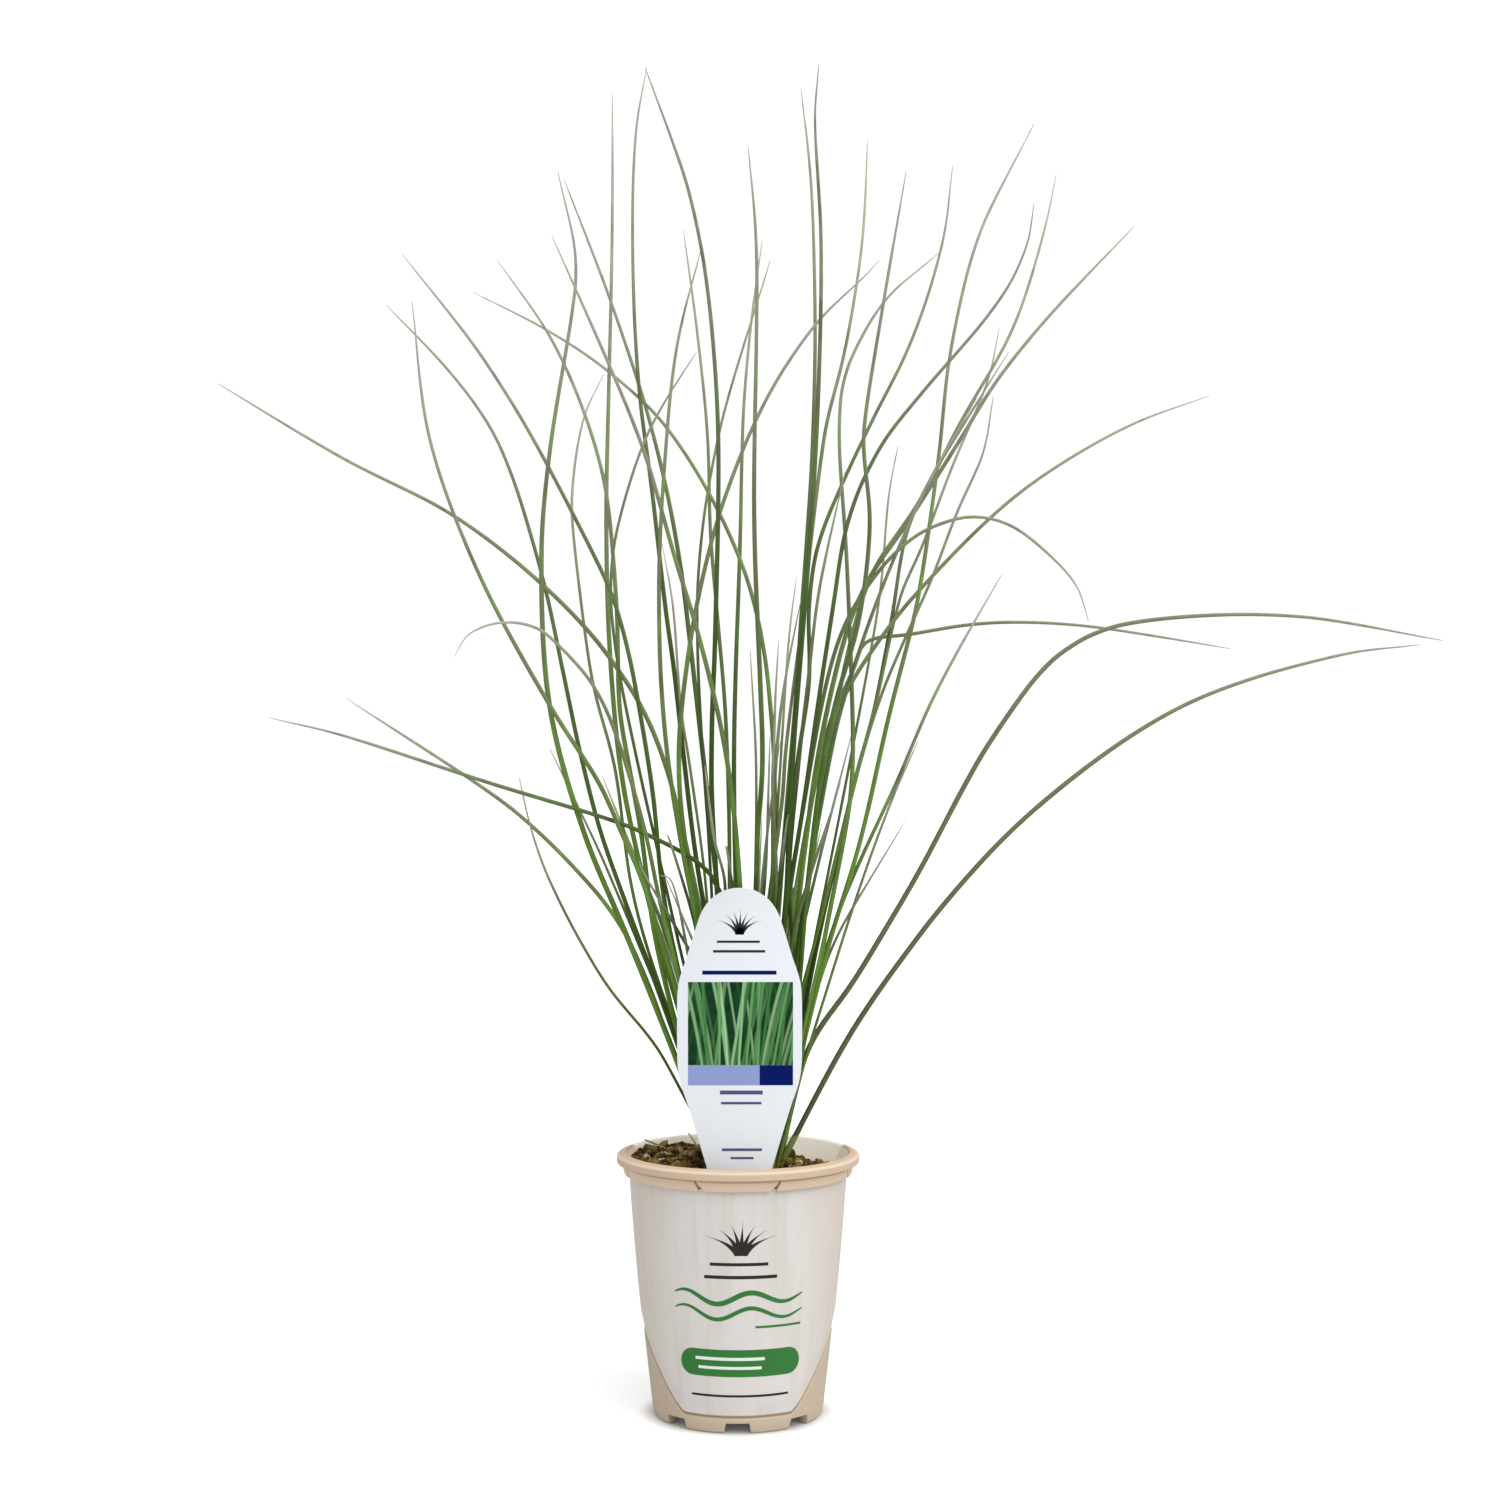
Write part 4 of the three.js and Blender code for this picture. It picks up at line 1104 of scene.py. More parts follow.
def make_label(settings):
    angles = sorted(even_angles(LABEL_SECTORS) + [math.pi + turn for turn in (-0.002, *LAP_TURN)])
    points, faces = ring_grid(label_section, angles, True)
    label = turned(add_mesh("label", points, faces))
    finished(label, "label_wrap", [label_material(settings)])
    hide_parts("label_sleeve")


def strip(route, widths, lay, lift, sink):
    """A closed thin strip along a route of [u, v], laid on a surface by lay(u, v, height)."""
    across = 2
    route = [Vector(spot) for spot in route]
    rows = len(route)
    tops = []
    bottoms = []
    for index, (spot, width) in enumerate(zip(route, widths)):
        ahead = route[min(index + 1, rows - 1)] - route[max(index - 1, 0)]
        beside = Vector((-ahead.y, ahead.x)).normalized() * width / 2
        for column in range(across + 1):
            u, v = spot + beside * (2 * column / across - 1)
            tops.append(lay(u, v, lift))
            bottoms.append(lay(u, v, -sink))
    wide = across + 1
    count = len(tops)
    faces = []
    for row in range(rows - 1):
        for column in range(across):
            one = row * wide + column
            faces.append((one, one + 1, one + wide + 1, one + wide))
            faces.append(tuple(count + k for k in (one, one + wide, one + wide + 1, one + 1)))
        for one in (row * wide, row * wide + across):
            faces.append((one, one + wide, count + one + wide, count + one))
    for row in (0, rows - 1):
        for column in range(across):
            one = row * wide + column
            faces.append((one, one + 1, count + one + 1, count + one))
    return tops + bottoms, faces


def printed(name, shapes, lay, lift, sink, slot, material):
    """A piece of thin marks that stand on a surface."""
    parts = [strip(route, widths, lay, lift, sink) for route, widths in shapes]
    finished(turned(add_mesh(name, *gathered(parts))), slot, [material])


def capsule(left, right, middle, height):
    """Route and widths of a bar with round ends."""
    steps = 40
    radius = height / 2
    route = []
    widths = []
    for index in range(steps + 1):
        u = left + (right - left) * (0.5 - 0.5 * math.cos(math.pi * index / steps))
        into = min(radius, max(0.02, min(u - left, right - u)))
        route.append((u, middle))
        widths.append(2 * math.sqrt(max(radius**2 - (radius - into) ** 2, 0.01)))
    return route, widths


def bar(left, right, middle, height):
    """Route and widths of a plain bar."""
    steps = 24
    route = [(left + (right - left) * index / steps, middle) for index in range(steps + 1)]
    return route, [height] * (steps + 1)


def blade_fan(centre, foot, height, reach, thick):
    """Routes and widths of a few plain blades that fan out from one place."""
    steps = 16
    for side in (-1.0, -0.62, -0.28, 0.06, 0.4, 0.72, 1.0):
        tall = height * (1 - 0.32 * abs(side) ** 1.6)
        route = []
        widths = []
        for index in range(steps + 1):
            share = index / steps
            out = reach * side * (0.12 + 0.88 * share**1.7)
            droop = 0.12 * height * abs(side) * share**3
            belly = 0.35 + 0.65 * math.sin(math.pi * min(1.0, 0.15 + share))
            route.append((centre + out, foot + tall * share - droop))
            widths.append(thick * belly * (1.02 - share))
        yield route, widths


def wave(level, thick):
    """Route and widths of a wave that is thin at both ends."""
    steps = 80
    route = []
    widths = []
    for index in range(steps + 1):
        share = index / steps
        rise = 3.2 * math.sin(TURN * 2 * share + 0.4) * (1 - 0.3 * share)
        route.append((-32 + 65 * share, level + rise))
        widths.append(0.3 + thick * math.sin(math.pi * share) ** 0.5)
    return route, widths


def on_label(u, v, height):
    """A place on the label: u is the distance along its face from the front, v the height."""
    angle = u / wall_radius(v)
    radius = label_radius(angle, v) + height
    return (radius * math.sin(angle), -radius * math.cos(angle), v)


def make_label_marks(settings):
    """Plain marks: a fan of blades over two bars, two waves, a green bar with round ends, and lines."""
    fan = list(blade_fan(1.65, 87.0, 16.5, 17.0, 3.0))
    dark = fan + [bar(-13.1, 14.6, 82.8, 1.5), bar(-15.9, 19.0, 76.6, 1.6), bar(-22.6, 25.2, 18.8, 1.1)]
    green = [wave(66.5, 2.2), wave(59.0, 1.7), bar(8.5, 32.0, 52.4, 1.1), capsule(-28.5, 31.5, 34.8, 13.2)]
    pale = [bar(-20.5, 13.0, 36.9, 1.5), bar(-19.0, 11.5, 32.5, 1.4)]
    for name, shapes, shade, lift in (
        ("label_green_marks", green, settings.green, 0.05),
        ("label_dark_marks", dark, settings.dark, 0.05),
        ("label_pale_marks", pale, settings.pale, 0.1),
    ):
        printed(name, shapes, on_label, lift, 0.12, "label_wrap", print_material(name, shade))


# Soil


def soil_height(x, y):
    """Height of the soil, which falls from the left to the right, with a clump beside the crown."""
    level = SOIL_LEFT + (SOIL_RIGHT - SOIL_LEFT) * ease(-46, 34, x)
    lumps = math.sin(0.31 * x + 1.1) * math.sin(0.27 * y - 0.4)
    lumps += 0.6 * math.sin(0.73 * x - 0.52 * y)
    away = math.hypot(x - MOUND[0], y - MOUND[1]) / MOUND[3]
    return level + SOIL_RELIEF * lumps + MOUND[2] * math.exp(-away * away / 2)


def noise_at(spot, shift):
    """Soft noise at a place, from -1 to 1."""
    return noise.noise(spot + Vector((shift, -shift, shift)))


def surface(x, y):
    """Height of the soil with its fine relief."""
    spot = Vector((x, y, 0))
    coarse = 1.3 * noise_at(spot * 0.19, 7.0)
    medium = 0.9 * noise_at(spot * 0.45, 3.0)
    fine = 0.4 * noise_at(spot * 1.1, 11.0)
    return soil_height(x, y) + (coarse + medium + fine)


def make_soil(settings):
    rings = SOIL_RINGS
    sectors = SOIL_SECTORS
    angles = even_angles(sectors)
    near = inner_radius(FLARE_BOTTOM)
    reach = [inner_radius(soil_height(*polar(near, angle))) - 0.25 for angle in angles]
    points = [(0, 0, surface(0, 0))]
    for ring in range(1, rings + 1):
        for most, angle in zip(reach, angles):
            x, y = polar(most * ring / rings, angle)
            points.append((x, y, surface(x, y)))
    shoulder = SOIL_SHOULDER - 2
    foot = FLOOR_TOP + 0.3
    for radius, z in ((inner_radius(shoulder) - 0.4, shoulder), (38.0, foot)):
        points += [(*polar(radius, angle), z) for angle in angles]
    points.append((0, 0, foot))
    last = 1 + (rings + 1) * sectors
    faces = [(0, 1 + k, 1 + (k + 1) % sectors) for k in range(sectors)]
    faces += [(a, d, c, b) for a, b, c, d in ring_faces(rings + 2, sectors, 1)]
    faces += [(last + k, len(points) - 1, last + (k + 1) % sectors) for k in range(sectors)]
    tones = [0.12 + 0.4 * noise_at(Vector(spot) * 0.5, 2.0) for spot in points]
    soil = add_mesh("soil_bed", points, faces, tone=tones)
    finished(turned(soil), "potting_soil", [crumb_material(settings)], 80)
    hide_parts("soil")


def scattered(name, parts, tones, material, crease):
    """One piece of many small parts, whose points have a tone each."""
    made = add_mesh(name, *gathered(parts), tone=tones)
    finished(turned(made), "potting_soil", [material], crease)


def ball(levels):
    """Points and faces of a small round ball."""
    shape = bmesh.new()
    bmesh.ops.create_icosphere(shape, subdivisions=levels, radius=1)
    points = np.array([corner.co for corner in shape.verts])
    faces = [tuple(corner.index for corner in face.verts) for face in shape.faces]
    shape.free()
    return points, faces


def spin(draw):
    """A random turn as a 3 by 3 matrix."""
    axis = Vector([draw.gauss(0, 1) for _ in range(3)]).normalized()
    return np.array(Matrix.Rotation(draw.uniform(0, TURN), 3, axis))


def soil_spot(draw, edge):
    """A random place on the soil."""
    radius = edge * math.sqrt(draw.random())
    x, y = polar(radius, draw.uniform(0, TURN))
    return x, y, surface(x, y)


def mound_spot(draw, wide, deep):
    """A random place on the clump beside the crown."""
    x, y = draw.gauss(MOUND[0], wide), draw.gauss(MOUND[1], deep)
    return x, y, surface(x, y)


def crumb(draw, balls, size, place, seed):
    """The points of one lumpy, jagged crumb."""
    lumps = np.array([1 + 0.3 * noise_at(Vector(p) * 1.6 + Vector((seed, 0, 0)), 5.0) for p in balls])
    jagged = 1 + 0.16 * np.array([draw.uniform(-1, 1) for _ in balls])
    flat = np.array([draw.uniform(0.7, 1.3), draw.uniform(0.6, 1.1), draw.uniform(0.5, 0.9)])
    shape = balls * (lumps * jagged)[:, None] * flat
    return (shape @ spin(draw).T * size + place).tolist()


def make_crumbs(settings):
    draw = random.Random(611)
    coarse = ball(2)
    small = ball(1)
    parts = []
    tones = []
    balls, faces = coarse
    for x, y, lift, size, tone in CLODS:
        parts.append((crumb(draw, balls, size, (x, y, soil_height(x, y) + lift), -x), faces))
        tones += [tone] * len(balls)
    for index in range(settings.crumbs):
        big = index % 4 == 0
        size = draw.uniform(1.2, 3.0) if big else draw.uniform(0.5, 1.3)
        x, y, z = soil_spot(draw, 48.5 if big else 49.8)
        if index % 9 == 0:
            x, y, z = mound_spot(draw, 5.5, 5.5)
        balls, faces = coarse if big else small
        parts.append((crumb(draw, balls, size, (x, y, z + 0.25 * size), index), faces))
        tones += [draw.betavariate(0.9, 1.2)] * len(balls)
    scattered("soil_crumbs", parts, tones, crumb_material(settings), 70)


def ribbon(start, heading, length, width, curl):
    """A tiny pointed blade with three sides, which bends over as it rises."""
    steps = 4
    points = []
    spot = Vector(start)
    side = heading.cross(Vector((0, 0, 1)))
    side = side.normalized() if side.length > 0.01 else Vector((1, 0, 0))
    way = heading.normalized()
    for step in range(steps):
        half = width * (1 - step / steps) / 2
        back = way.cross(side).normalized() * half
        points += [tuple(spot + side * half), tuple(spot - side * half), tuple(spot + back)]
        spot = spot + way * length / steps
        way = (way + curl / steps).normalized()
    points.append(tuple(spot))
    last = (steps - 1) * 3
    tip = [(last + corner, last + (corner + 1) % 3, len(points) - 1) for corner in range(3)]
    return points, [(0, 2, 1), *ring_faces(steps, 3), *tip]


def make_moss(settings):
    draw = random.Random(87)
    parts = []
    tones = []
    for index in range(settings.moss):
        place = soil_spot(draw, 48.5)
        if index % 4 == 0:
            place = mound_spot(draw, 4.5, 5.0)
        tone = draw.random()
        for _ in range(6):
            heading = Vector((*polar(1.0, draw.uniform(0, TURN)), draw.uniform(0.5, 1.8)))
            length = draw.uniform(0.9, 2.6)
            curl = Vector((draw.uniform(-0.6, 0.6), draw.uniform(-0.6, 0.6), -0.9))
            blade = ribbon(place, heading, length, draw.uniform(0.25, 0.5), curl)
            parts.append(blade)
            tones += [min(1.0, max(0.0, tone + draw.uniform(-0.2, 0.2)))] * len(blade[0])
    scattered("moss", parts, tones, moss_material(settings), 60)


def make_straws(settings):
    """Dry stalks: a few that lean on the rim at the left, and short bits that lie on the soil."""
    draw = random.Random(3907)
    leaning = (
        [(-39.0, 31.0, 125.2), (-43.0, 30.0, 127.2), (-47.3, 27.6, 129.4)],
        [(-20.6, 36.0, 124.0), (-22.8, 41.5, 126.6), (-25.6, 47.6, 129.3)],
        [(-33.0, 22.0, 124.6), (-40.0, 26.0, 126.2), (-45.5, 27.0, 126.6)],
    )
    parts = [tube(route, [0.5, 0.55, 0.4], 7) for route in leaning]
    tones = [0.25 for points, _ in parts for _ in points]
    for index in range(settings.straws):
        x, y, z = soil_spot(draw, 47.0)
        length = draw.uniform(1.5, 5.0) if index % 6 else draw.uniform(6.0, 12.0)
        radius = draw.uniform(0.16, 0.34) if index % 6 else draw.uniform(0.3, 0.5)
        way = Vector((*polar(1.0, draw.uniform(0, TURN)), draw.uniform(-0.1, 0.3))) * length / 2
        middle = Vector((x, y, z + 0.5))
        bow = Vector((draw.uniform(-0.3, 0.3), draw.uniform(-0.3, 0.3), 0.1 * length))
        ends = [middle - way, middle + bow * 0.5, middle + way]
        if any(math.hypot(end.x, end.y) > 50.5 for end in ends):
            continue
        stalk = tube(ends, [radius, radius * 1.05, radius * 0.8], 6)
        parts.append(stalk)
        tones += [draw.betavariate(2.0, 2.0)] * len(stalk[0])
    scattered("dry_stalks", parts, tones, straw_material(settings), 50)


# Plant tag


def tag_outline():
    """The tag's right edge as [half width, height] in a soft line, from its point up to its crown."""
    knots = [Vector(spot) for spot in TAG_EDGE]
    edge = [TAG_EDGE[0], TAG_EDGE[1]]
    for index in range(1, len(knots) - 1):
        one, other = knots[index], knots[index + 1]
        length = (other - one).length
        before = (other - knots[index - 1]).normalized() * length if index > 1 else other - one
        crown = index + 2 == len(knots)
        after = Vector((-1, 0)) if crown else (knots[index + 2] - one).normalized()
        after *= length
        for step in range(1, 9):
            t = step / 8
            spot = one * (2 * t**3 - 3 * t**2 + 1) + before * (t**3 - 2 * t**2 + t)
            spot += other * (3 * t**2 - 2 * t**3) + after * (t**3 - t**2)
            edge.append(tuple(spot))
    return edge


def make_tag(settings):
    right = tag_outline()
    loop = right + [(-half, z) for half, z in right[-2::-1]]
    shape = bmesh.new()
    thick = settings.thick / MM
    outline = [shape.verts.new((TAG_CENTRE + half, TAG_DEPTH - thick / 2, z)) for half, z in loop]
    made = bmesh.ops.extrude_face_region(shape, geom=[shape.faces.new(outline)])
    back = [item for item in made["geom"] if isinstance(item, bmesh.types.BMVert)]
    bmesh.ops.translate(shape, verts=back, vec=(0, thick, 0))
    tag = from_shape("tag", shape)
    bevelled(tag, settings.edge, 3, 60)
    finished(tag, "tag_plastic", [tag_material(settings)], 50)
    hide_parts("plant_tag")


def on_tag(u, v, height):
    """A place on the tag: u is the distance to the right of the axis, v the height."""
    return (u, TAG_FRONT - height, v)


def make_tag_marks(settings):
    """The tag's plain print: a green panel of blades over two bars, and a few plain marks."""
    panel = [bar(-23.8, 26.5, 195.0, 39.8)]
    lavender = [bar(-23.8, 10.5, 170.25, 9.6)]
    navy = [bar(10.5, 26.5, 170.25, 9.6), bar(-17.0, 18.6, 219.4, 1.9)]
    dark = list(blade_fan(0.9, 237.6, 12.6, 11.0, 1.9))
    dark += [bar(-10.0, 10.6, 234.2, 1.1), bar(-11.8, 13.2, 229.6, 1.2)]
    grey = [bar(-8.5, 12.0, 162.0, 1.9), bar(-8.0, 11.4, 156.9, 1.2)]
    grey += [bar(-7.6, 11.6, 134.6, 1.3), bar(-3.4, 7.6, 130.6, 1.1)]
    for name, shapes, material in (
        ("tag_panel", panel, panel_material(settings)),
        ("tag_lavender_bar", lavender, print_material("tag_lavender", settings.lavender, 0.3)),
        ("tag_navy_marks", navy, print_material("tag_navy", settings.navy, 0.3)),
        ("tag_dark_marks", dark, print_material("tag_dark", tint(52, 48, 50), 0.3)),
        ("tag_grey_marks", grey, print_material("tag_grey", tint(84, 84, 128), 0.3)),
    ):
        printed(name, shapes, on_tag, 0.05, 0.1, "tag_plastic", material)


# Culms


def joined_points(node):
    """A node's corners in millimetres about the axis, each once, and the corners joined to each."""
    mesh = NODES[node].data
    numbers = {}
    own = []
    points = []
    for vertex in mesh.vertices:
        spot = tuple(round(value * 1e6) for value in vertex.co)
        if spot not in numbers:
            numbers[spot] = len(points)
            points.append(in_millimetres(vertex.co))
        own.append(numbers[spot])
    joined = [set() for _ in points]
    for face in mesh.polygons:
        corners = [own[index] for index in face.vertices]
        for one, other in zip(corners, corners[1:] + corners[:1]):
            joined[one].add(other)
            joined[other].add(one)
    return np.array(points), joined


def is_tip(points, joined, index):
    """A culm's tip is a point over a small ring of four."""
    ring = list(joined[index])
    if len(ring) != 4:
        return False
    away = np.linalg.norm(points[ring] - points[index], axis=1)
    return away.min() > 4 and np.ptp(points[ring], axis=0).max() < 3


def read_culms(node):
    """The middle lines and radii of a tuft's culms, each from its root to its tip."""
    points, joined = joined_points(node)
    floor = points[:, 2].min()
    knot = points[points[:, 2] < floor + 0.01].mean(axis=0)
    top = floor + KNOT_TALL
    culms = []
    for tip in range(len(points)):
        if not is_tip(points, joined, tip):
            continue
        line = [points[tip]]
        radii = []
        ring, before = set(joined[tip]), {tip}
        while True:
            corners = points[list(ring)]
            middle = corners.mean(axis=0)
            if middle[2] < top + CULM_CLEAR:
                break
            line.append(middle)
            radii.append(float(np.linalg.norm(corners - middle, axis=1).mean()) / CORNER_REACH)
            after = set().union(*(joined[index] for index in ring)) - ring - before
            if len(after) != 4 or np.ptp(points[list(after)], axis=0).max() > 6:
                break
            ring, before = after, ring
        culms.append({"line": line[::-1], "radii": radii[::-1], "node": node, "knot": knot})
    culms.sort(key=lambda culm: tuple(np.round(culm["line"][-1], 2)))
    way = culms[0]["line"][0] - knot
    lean = math.atan2(way[1], way[0])
    for number, culm in enumerate(culms):
        x, y = polar(1.0, lean + TURN * number / len(culms))
        root = np.array([knot[0] + x, knot[1] + y, top - ROOT_UNDER])
        culm["line"] = [root, *culm["line"]]
        culm["radii"] = [culm["radii"][0], *culm["radii"], POINT_RADIUS]
    return culms


def place_along(along, run, route):
    """Places on a route at distances along it."""
    return np.stack([np.interp(along, run, route[:, axis]) for axis in range(3)], axis=-1)


def mixed(one, other, start, end, time):
    """What lies between two places at a time, when they are reached at start and end."""
    return (one * (end - time) + other * (time - start)) / (end - start)


def smooth_route(line, radii, step):
    """A soft curve through a line's points, at even steps, with the radius at each."""
    knots = np.array([2 * line[0] - line[1], *line, 2 * line[-1] - line[-2]])
    spots = []
    sizes = []
    for index in range(1, len(knots) - 2):
        a, b, c, d = knots[index - 1:index + 3]
        times = [0.0]
        for one, other in ((a, b), (b, c), (c, d)):
            times.append(times[-1] + max(1e-3, np.linalg.norm(other - one)) ** 0.5)
        count = max(2, int(np.linalg.norm(c - b)))
        for part in range(count):
            t = times[1] + (times[2] - times[1]) * part / count
            ab = mixed(a, b, times[0], times[1], t)
            bc = mixed(b, c, times[1], times[2], t)
            cd = mixed(c, d, times[2], times[3], t)
            abc = mixed(ab, bc, times[0], times[2], t)
            bcd = mixed(bc, cd, times[1], times[3], t)
            spots.append(mixed(abc, bcd, times[1], times[2], t))
            share = part / count
            sizes.append(radii[index - 1] * (1 - share) + radii[index] * share)
    spots.append(knots[-2])
    sizes.append(radii[-1])
    spots = np.array(spots)
    run = np.concatenate([[0], np.cumsum(np.linalg.norm(np.diff(spots, axis=0), axis=1))])
    count = max(8, int(run[-1] / step))
    even = np.linspace(0, run[-1], count + 1)
    # The last stretch under the tip is cut finer, so that the point is smooth.
    fine = run[-1] - np.array([3.0, 2.0, 1.0])
    even = np.unique(np.concatenate([even[even < run[-1] - 3.5], fine, [run[-1]]]))
    return place_along(even, run, spots), np.interp(even, run, sizes), even


def slimmed(radii, run, settings):
    """Radii that thin out towards a fine point."""
    length = run[-1]
    share = run / length
    swell = 1 + settings.full * np.clip((share - 0.3) / 0.3, 0, 1)
    point = np.clip((length - run) / POINT_LENGTH, 0, 1) ** 0.6
    tip = settings.tip / MM
    return tip + (radii * swell - tip) * point


def culm_mesh(route, radii, run, sides):
    """Points, faces and stem coordinates of one culm, and how far up it each point is."""
    rings = len(route) - 1
    last = (rings - 1) * sides
    points = ring_points(route, radii, sides)[:-1].reshape(-1, 3).tolist() + [route[-1].tolist()]
    faces = [tuple(range(sides))[::-1], *ring_faces(rings, sides)]
    faces += [(last + side, last + (side + 1) % sides, len(points) - 1) for side in range(sides)]
    edges = [(side / sides, (side + 1) / sides) for side in range(sides)]
    heights = run * MM
    stems = [[(side / sides, 0.0) for side in range(sides)][::-1]]
    for low, high in zip(heights[:-2], heights[1:-1]):
        stems += [[(u, low), (v, low), (v, high), (u, high)] for u, v in edges]
    stems += [[(u, heights[-2]), (v, heights[-2]), ((u + v) / 2, heights[-1])] for u, v in edges]
    marks = np.repeat(run[:-1] / run[-1], sides).tolist() + [1.0]
    return points, faces, stems, marks


def culm_nature(culm, draw):
    """How pale, dry and olive a culm is."""
    tip = culm["line"][-1]
    thin = culm["radii"][0] < THIN_CULM
    culm["tone"] = draw.random()
    culm["dry"] = draw.uniform(0.0, 0.15) if thin else draw.uniform(0.0, 0.1)
    culm["olive"] = ease(*ARCH_REACH, math.hypot(tip[0], tip[1] * 0.5)) * draw.uniform(0.7, 1.0)
    culm["sheath"] = draw.uniform(0.4, 1.0)
    culm["sheath_tone"] = 0.92 if culm["knot"][0] > GREEN_FROM else draw.random() * 0.7
    culm["turn"] = draw.uniform(0, TURN)


def all_culms(settings):
    """Every culm, in an order that depends only on where the tips are."""
    culms = [culm for node in TUFTS for culm in read_culms(node)]
    culms.sort(key=lambda culm: (round(culm["line"][-1][2]), round(culm["line"][-1][0])))
    draw = random.Random(1204)
    for culm in culms:
        culm_nature(culm, draw)
        route, radii, run = smooth_route(culm["line"], culm["radii"], settings.step / MM)
        culm["route"], culm["run"] = route, run
        culm["radii"] = slimmed(radii, run, settings)
    return culms


def make_culms(settings, culms):
    """One piece for each tuft, in the place of its solid."""
    material = culm_material(settings)
    for node in TUFTS:
        parts = []
        stems = []
        marks = {"rise": [], "tone": [], "dry": [], "olive": []}
        for culm in culms:
            if culm["node"] != node:
                continue
            points, faces, stem, rise = culm_mesh(culm["route"], culm["radii"], culm["run"], settings.sides)
            parts.append((points, faces))
            stems.extend(pair for face in stem for pair in face)
            marks["rise"] += rise
            for key in ("tone", "dry", "olive"):
                marks[key] += [culm[key]] * len(points)
        piece = add_mesh(node.replace("tuft", "culms"), *gathered(parts), **marks)
        layer = piece.data.uv_layers.new(name="Stem")
        layer.data.foreach_set("uv", np.array(stems, np.float32).ravel())
        finished(piece, "culm_green", [material], 60)
        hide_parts(node)


def sheath_points(culm, longest):
    """Rings of points round a culm's root, cut off at a slant, and how far up each point is."""
    route, run = culm["route"], culm["run"]
    angles = np.arange(SHEATH_SIDES) * TURN / SHEATH_SIDES
    length = longest * culm["sheath"] + 5
    tops = length * (1 - 0.3 * (1 - np.cos(angles - culm["turn"])) / 2)
    shares = [*np.linspace(0, 1, SHEATH_ROWS), 1.0]
    points = []
    for row, share in enumerate(shares):
        for angle, top in zip(angles, tops):
            along = top * share
            spot = place_along(along, run, route)
            way = place_along(along + 2, run, route) - spot
            way /= np.linalg.norm(way)
            across = np.array([1.0, 0, 0]) - way * way[0]
            across /= np.linalg.norm(across)
            beside = np.cross(way, across)
            radius = np.interp(along, run, culm["radii"])
            radius += -0.12 if row == SHEATH_ROWS else 0.3 * (1 - share) + 0.09
            points.append(spot + (across * math.cos(angle) + beside * math.sin(angle)) * radius)
    return points, np.repeat(shares, SHEATH_SIDES).tolist()


def make_sheaths(settings, culms):
    """A scale sheath round the root of each culm."""
    rings = SHEATH_ROWS + 1
    faces = caps(rings, SHEATH_SIDES) + ring_faces(rings, SHEATH_SIDES)
    parts = []
    rise = []
    tone = []
    for culm in culms:
        points, shares = sheath_points(culm, settings.sheath / MM)
        parts.append((points, faces))
        rise += shares
        tone += [culm["sheath_tone"]] * len(points)
    sheaths = add_mesh("sheaths", *gathered(parts), rise=rise, tone=tone)
    finished(turned(sheaths), "culm_green", [sheath_material(settings)], 60)


# Stage


def make_camera():
    data = bpy.data.cameras.new("camera")
    data.lens = LENS
    data.sensor_width = PICTURE_WIDE
    data.clip_end = 50
    camera = linked("camera", data)
    camera.location = Vector(np.array(EYE) * MM + AXIS)
    camera.rotation_euler = (math.pi / 2, 0, 0)
    bpy.context.scene.camera = camera


def make_floor(settings):
    far = FLOOR_HALF
    mesh = bpy.data.meshes.new("floor")
    mesh.from_pydata([(-far, -far, 0), (far, -far, 0), (far, far, 0), (-far, far, 0)], [], [(0, 1, 2, 3)])
    mesh.materials.append(floor_material(settings))
    floor = linked("floor", mesh)
    floor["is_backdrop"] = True


def make_room(settings):
    """Even light from all round, against a backdrop that looks white."""
    world = bpy.data.worlds.new("studio")
    world.use_nodes = True
    tree = world.node_tree
    ground = tree.nodes["Background"]
    ground.inputs["Color"].default_value = (1, 1, 1, 1)
    path = tree.nodes.new("ShaderNodeLightPath")
    level = tree.nodes.new("ShaderNodeMapRange")
    level.inputs["To Min"].default_value = settings.room
    level.inputs["To Max"].default_value = BACKDROP
    tree.links.new(path.outputs["Is Camera Ray"], level.inputs["Value"])
    tree.links.new(level.outputs["Result"], ground.inputs["Strength"])
    bpy.context.scene.world = world
    bpy.context.scene.view_settings.view_transform = "Standard"


def make_lamp(settings):
    data = bpy.data.lights.new("key", "SUN")
    data.energy = settings.key
    data.angle = settings.soft
    lamp = linked("key", data)
    flat = math.cos(settings.rise)
    way = Vector((flat * math.sin(settings.side), -flat * math.cos(settings.side), math.sin(settings.rise)))
    lamp.rotation_euler = way.to_track_quat("Z", "Y").to_euler()
    lamp.location = way * 2


# Operators


class RUSH_OT_camera(bpy.types.Operator):
    """Sets up the camera at the photograph's angle"""

    bl_idname = "rush.camera"
    bl_label = "Camera"

    def execute(self, context):
        make_camera()
        return {"FINISHED"}


class RUSH_OT_pot(bpy.types.Operator):
    """Builds the moulded fibre pot with its slotted skirt, notched foot and pale inside"""

    bl_idname = "rush.pot"
    bl_label = "Fibre pot"

    def execute(self, context):
        make_pot(context.scene.rush_pot)
        return {"FINISHED"}


class RUSH_OT_label(bpy.types.Operator):
    """Wraps the label round the pot and prints its plain marks"""

    bl_idname = "rush.label"
    bl_label = "Label"

    def execute(self, context):
        settings = context.scene.rush_label
        make_label(settings)
        if settings.printed:
            make_label_marks(settings)
        return {"FINISHED"}


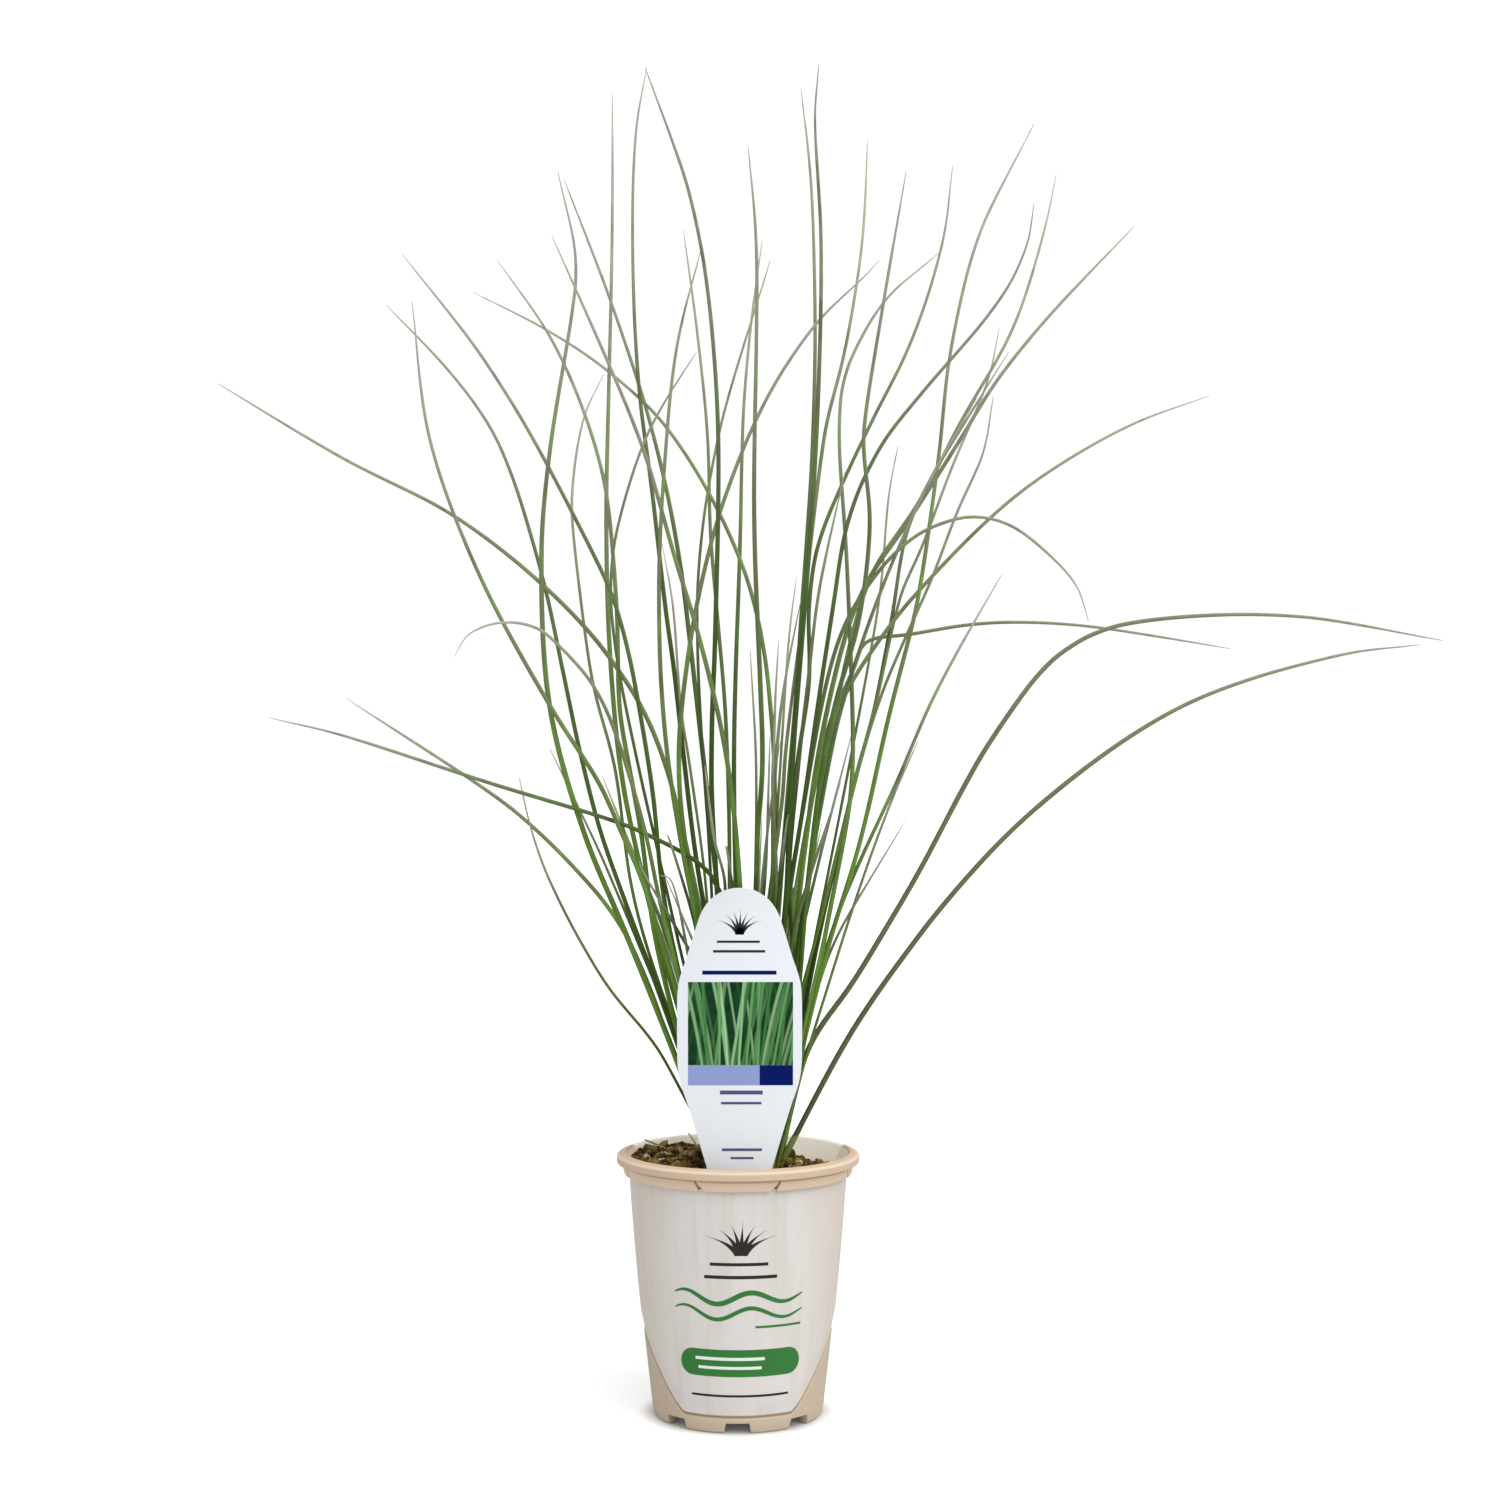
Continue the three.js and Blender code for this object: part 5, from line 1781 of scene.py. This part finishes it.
class RUSH_OT_soil(bpy.types.Operator):
    """Fills the pot with crumbly soil, loose crumbs, moss and dry stalks"""

    bl_idname = "rush.soil"
    bl_label = "Soil"

    def execute(self, context):
        settings = context.scene.rush_soil
        make_soil(settings)
        make_crumbs(settings)
        make_moss(settings)
        make_straws(settings)
        return {"FINISHED"}


class RUSH_OT_tag(bpy.types.Operator):
    """Makes the white plant tag with its green panel, bars and plain marks"""

    bl_idname = "rush.tag"
    bl_label = "Plant tag"

    def execute(self, context):
        settings = context.scene.rush_tag
        make_tag(settings)
        make_tag_marks(settings)
        return {"FINISHED"}


class RUSH_OT_culms(bpy.types.Operator):
    """Grows the round ribbed culms of every tuft, and the sheaths round their roots"""

    bl_idname = "rush.culms"
    bl_label = "Culms"

    def execute(self, context):
        settings = context.scene.rush_culms
        culms = all_culms(settings)
        make_culms(settings, culms)
        make_sheaths(settings, culms)
        return {"FINISHED"}


class RUSH_OT_stage(bpy.types.Operator):
    """Lays the pale floor, and sets up the even room light and the key lamp"""

    bl_idname = "rush.stage"
    bl_label = "Stage"

    def execute(self, context):
        settings = context.scene.rush_stage
        make_floor(settings)
        make_room(settings)
        make_lamp(settings)
        return {"FINISHED"}


STEPS = (
    (RUSH_OT_camera, None),
    (RUSH_OT_pot, "rush_pot"),
    (RUSH_OT_label, "rush_label"),
    (RUSH_OT_soil, "rush_soil"),
    (RUSH_OT_tag, "rush_tag"),
    (RUSH_OT_culms, "rush_culms"),
    (RUSH_OT_stage, "rush_stage"),
)


class VIEW3D_PT_rush(bpy.types.Panel):
    """Lists the steps and their settings"""

    bl_label = "Potted Soft Rush"
    bl_idname = "VIEW3D_PT_rush"
    bl_space_type = "VIEW_3D"
    bl_region_type = "UI"
    bl_category = "Rush"

    def draw(self, context):
        for step, group in STEPS:
            box = self.layout.box()
            box.operator(step.bl_idname)
            if group:
                settings = getattr(context.scene, group)
                for key in type(settings).__annotations__:
                    box.prop(settings, key)


GROUPS = {
    "rush_pot": RushPotSettings,
    "rush_label": RushLabelSettings,
    "rush_soil": RushSoilSettings,
    "rush_tag": RushTagSettings,
    "rush_culms": RushCulmSettings,
    "rush_stage": RushStageSettings,
}


def register():
    for group in GROUPS.values():
        bpy.utils.register_class(group)
    for step, _ in STEPS:
        bpy.utils.register_class(step)
    bpy.utils.register_class(VIEW3D_PT_rush)
    for name, group in GROUPS.items():
        setattr(bpy.types.Scene, name, PointerProperty(type=group))


def unregister():
    for name in GROUPS:
        delattr(bpy.types.Scene, name)
    bpy.utils.unregister_class(VIEW3D_PT_rush)
    for step, _ in reversed(STEPS):
        bpy.utils.unregister_class(step)
    for group in reversed(GROUPS.values()):
        bpy.utils.unregister_class(group)


def corners():
    """The shown object's lowest and highest corner, as plain lists."""
    bpy.context.view_layer.update()
    return [[round(value, 5) for value in corner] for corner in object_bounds()]


def main():
    register()
    packed = corners()
    for step, _ in STEPS:
        family, name = step.bl_idname.split(".")
        getattr(getattr(bpy.ops, family), name)()
    {"cad": packed, "scene": corners()}


if __name__ == "__main__":
    main()
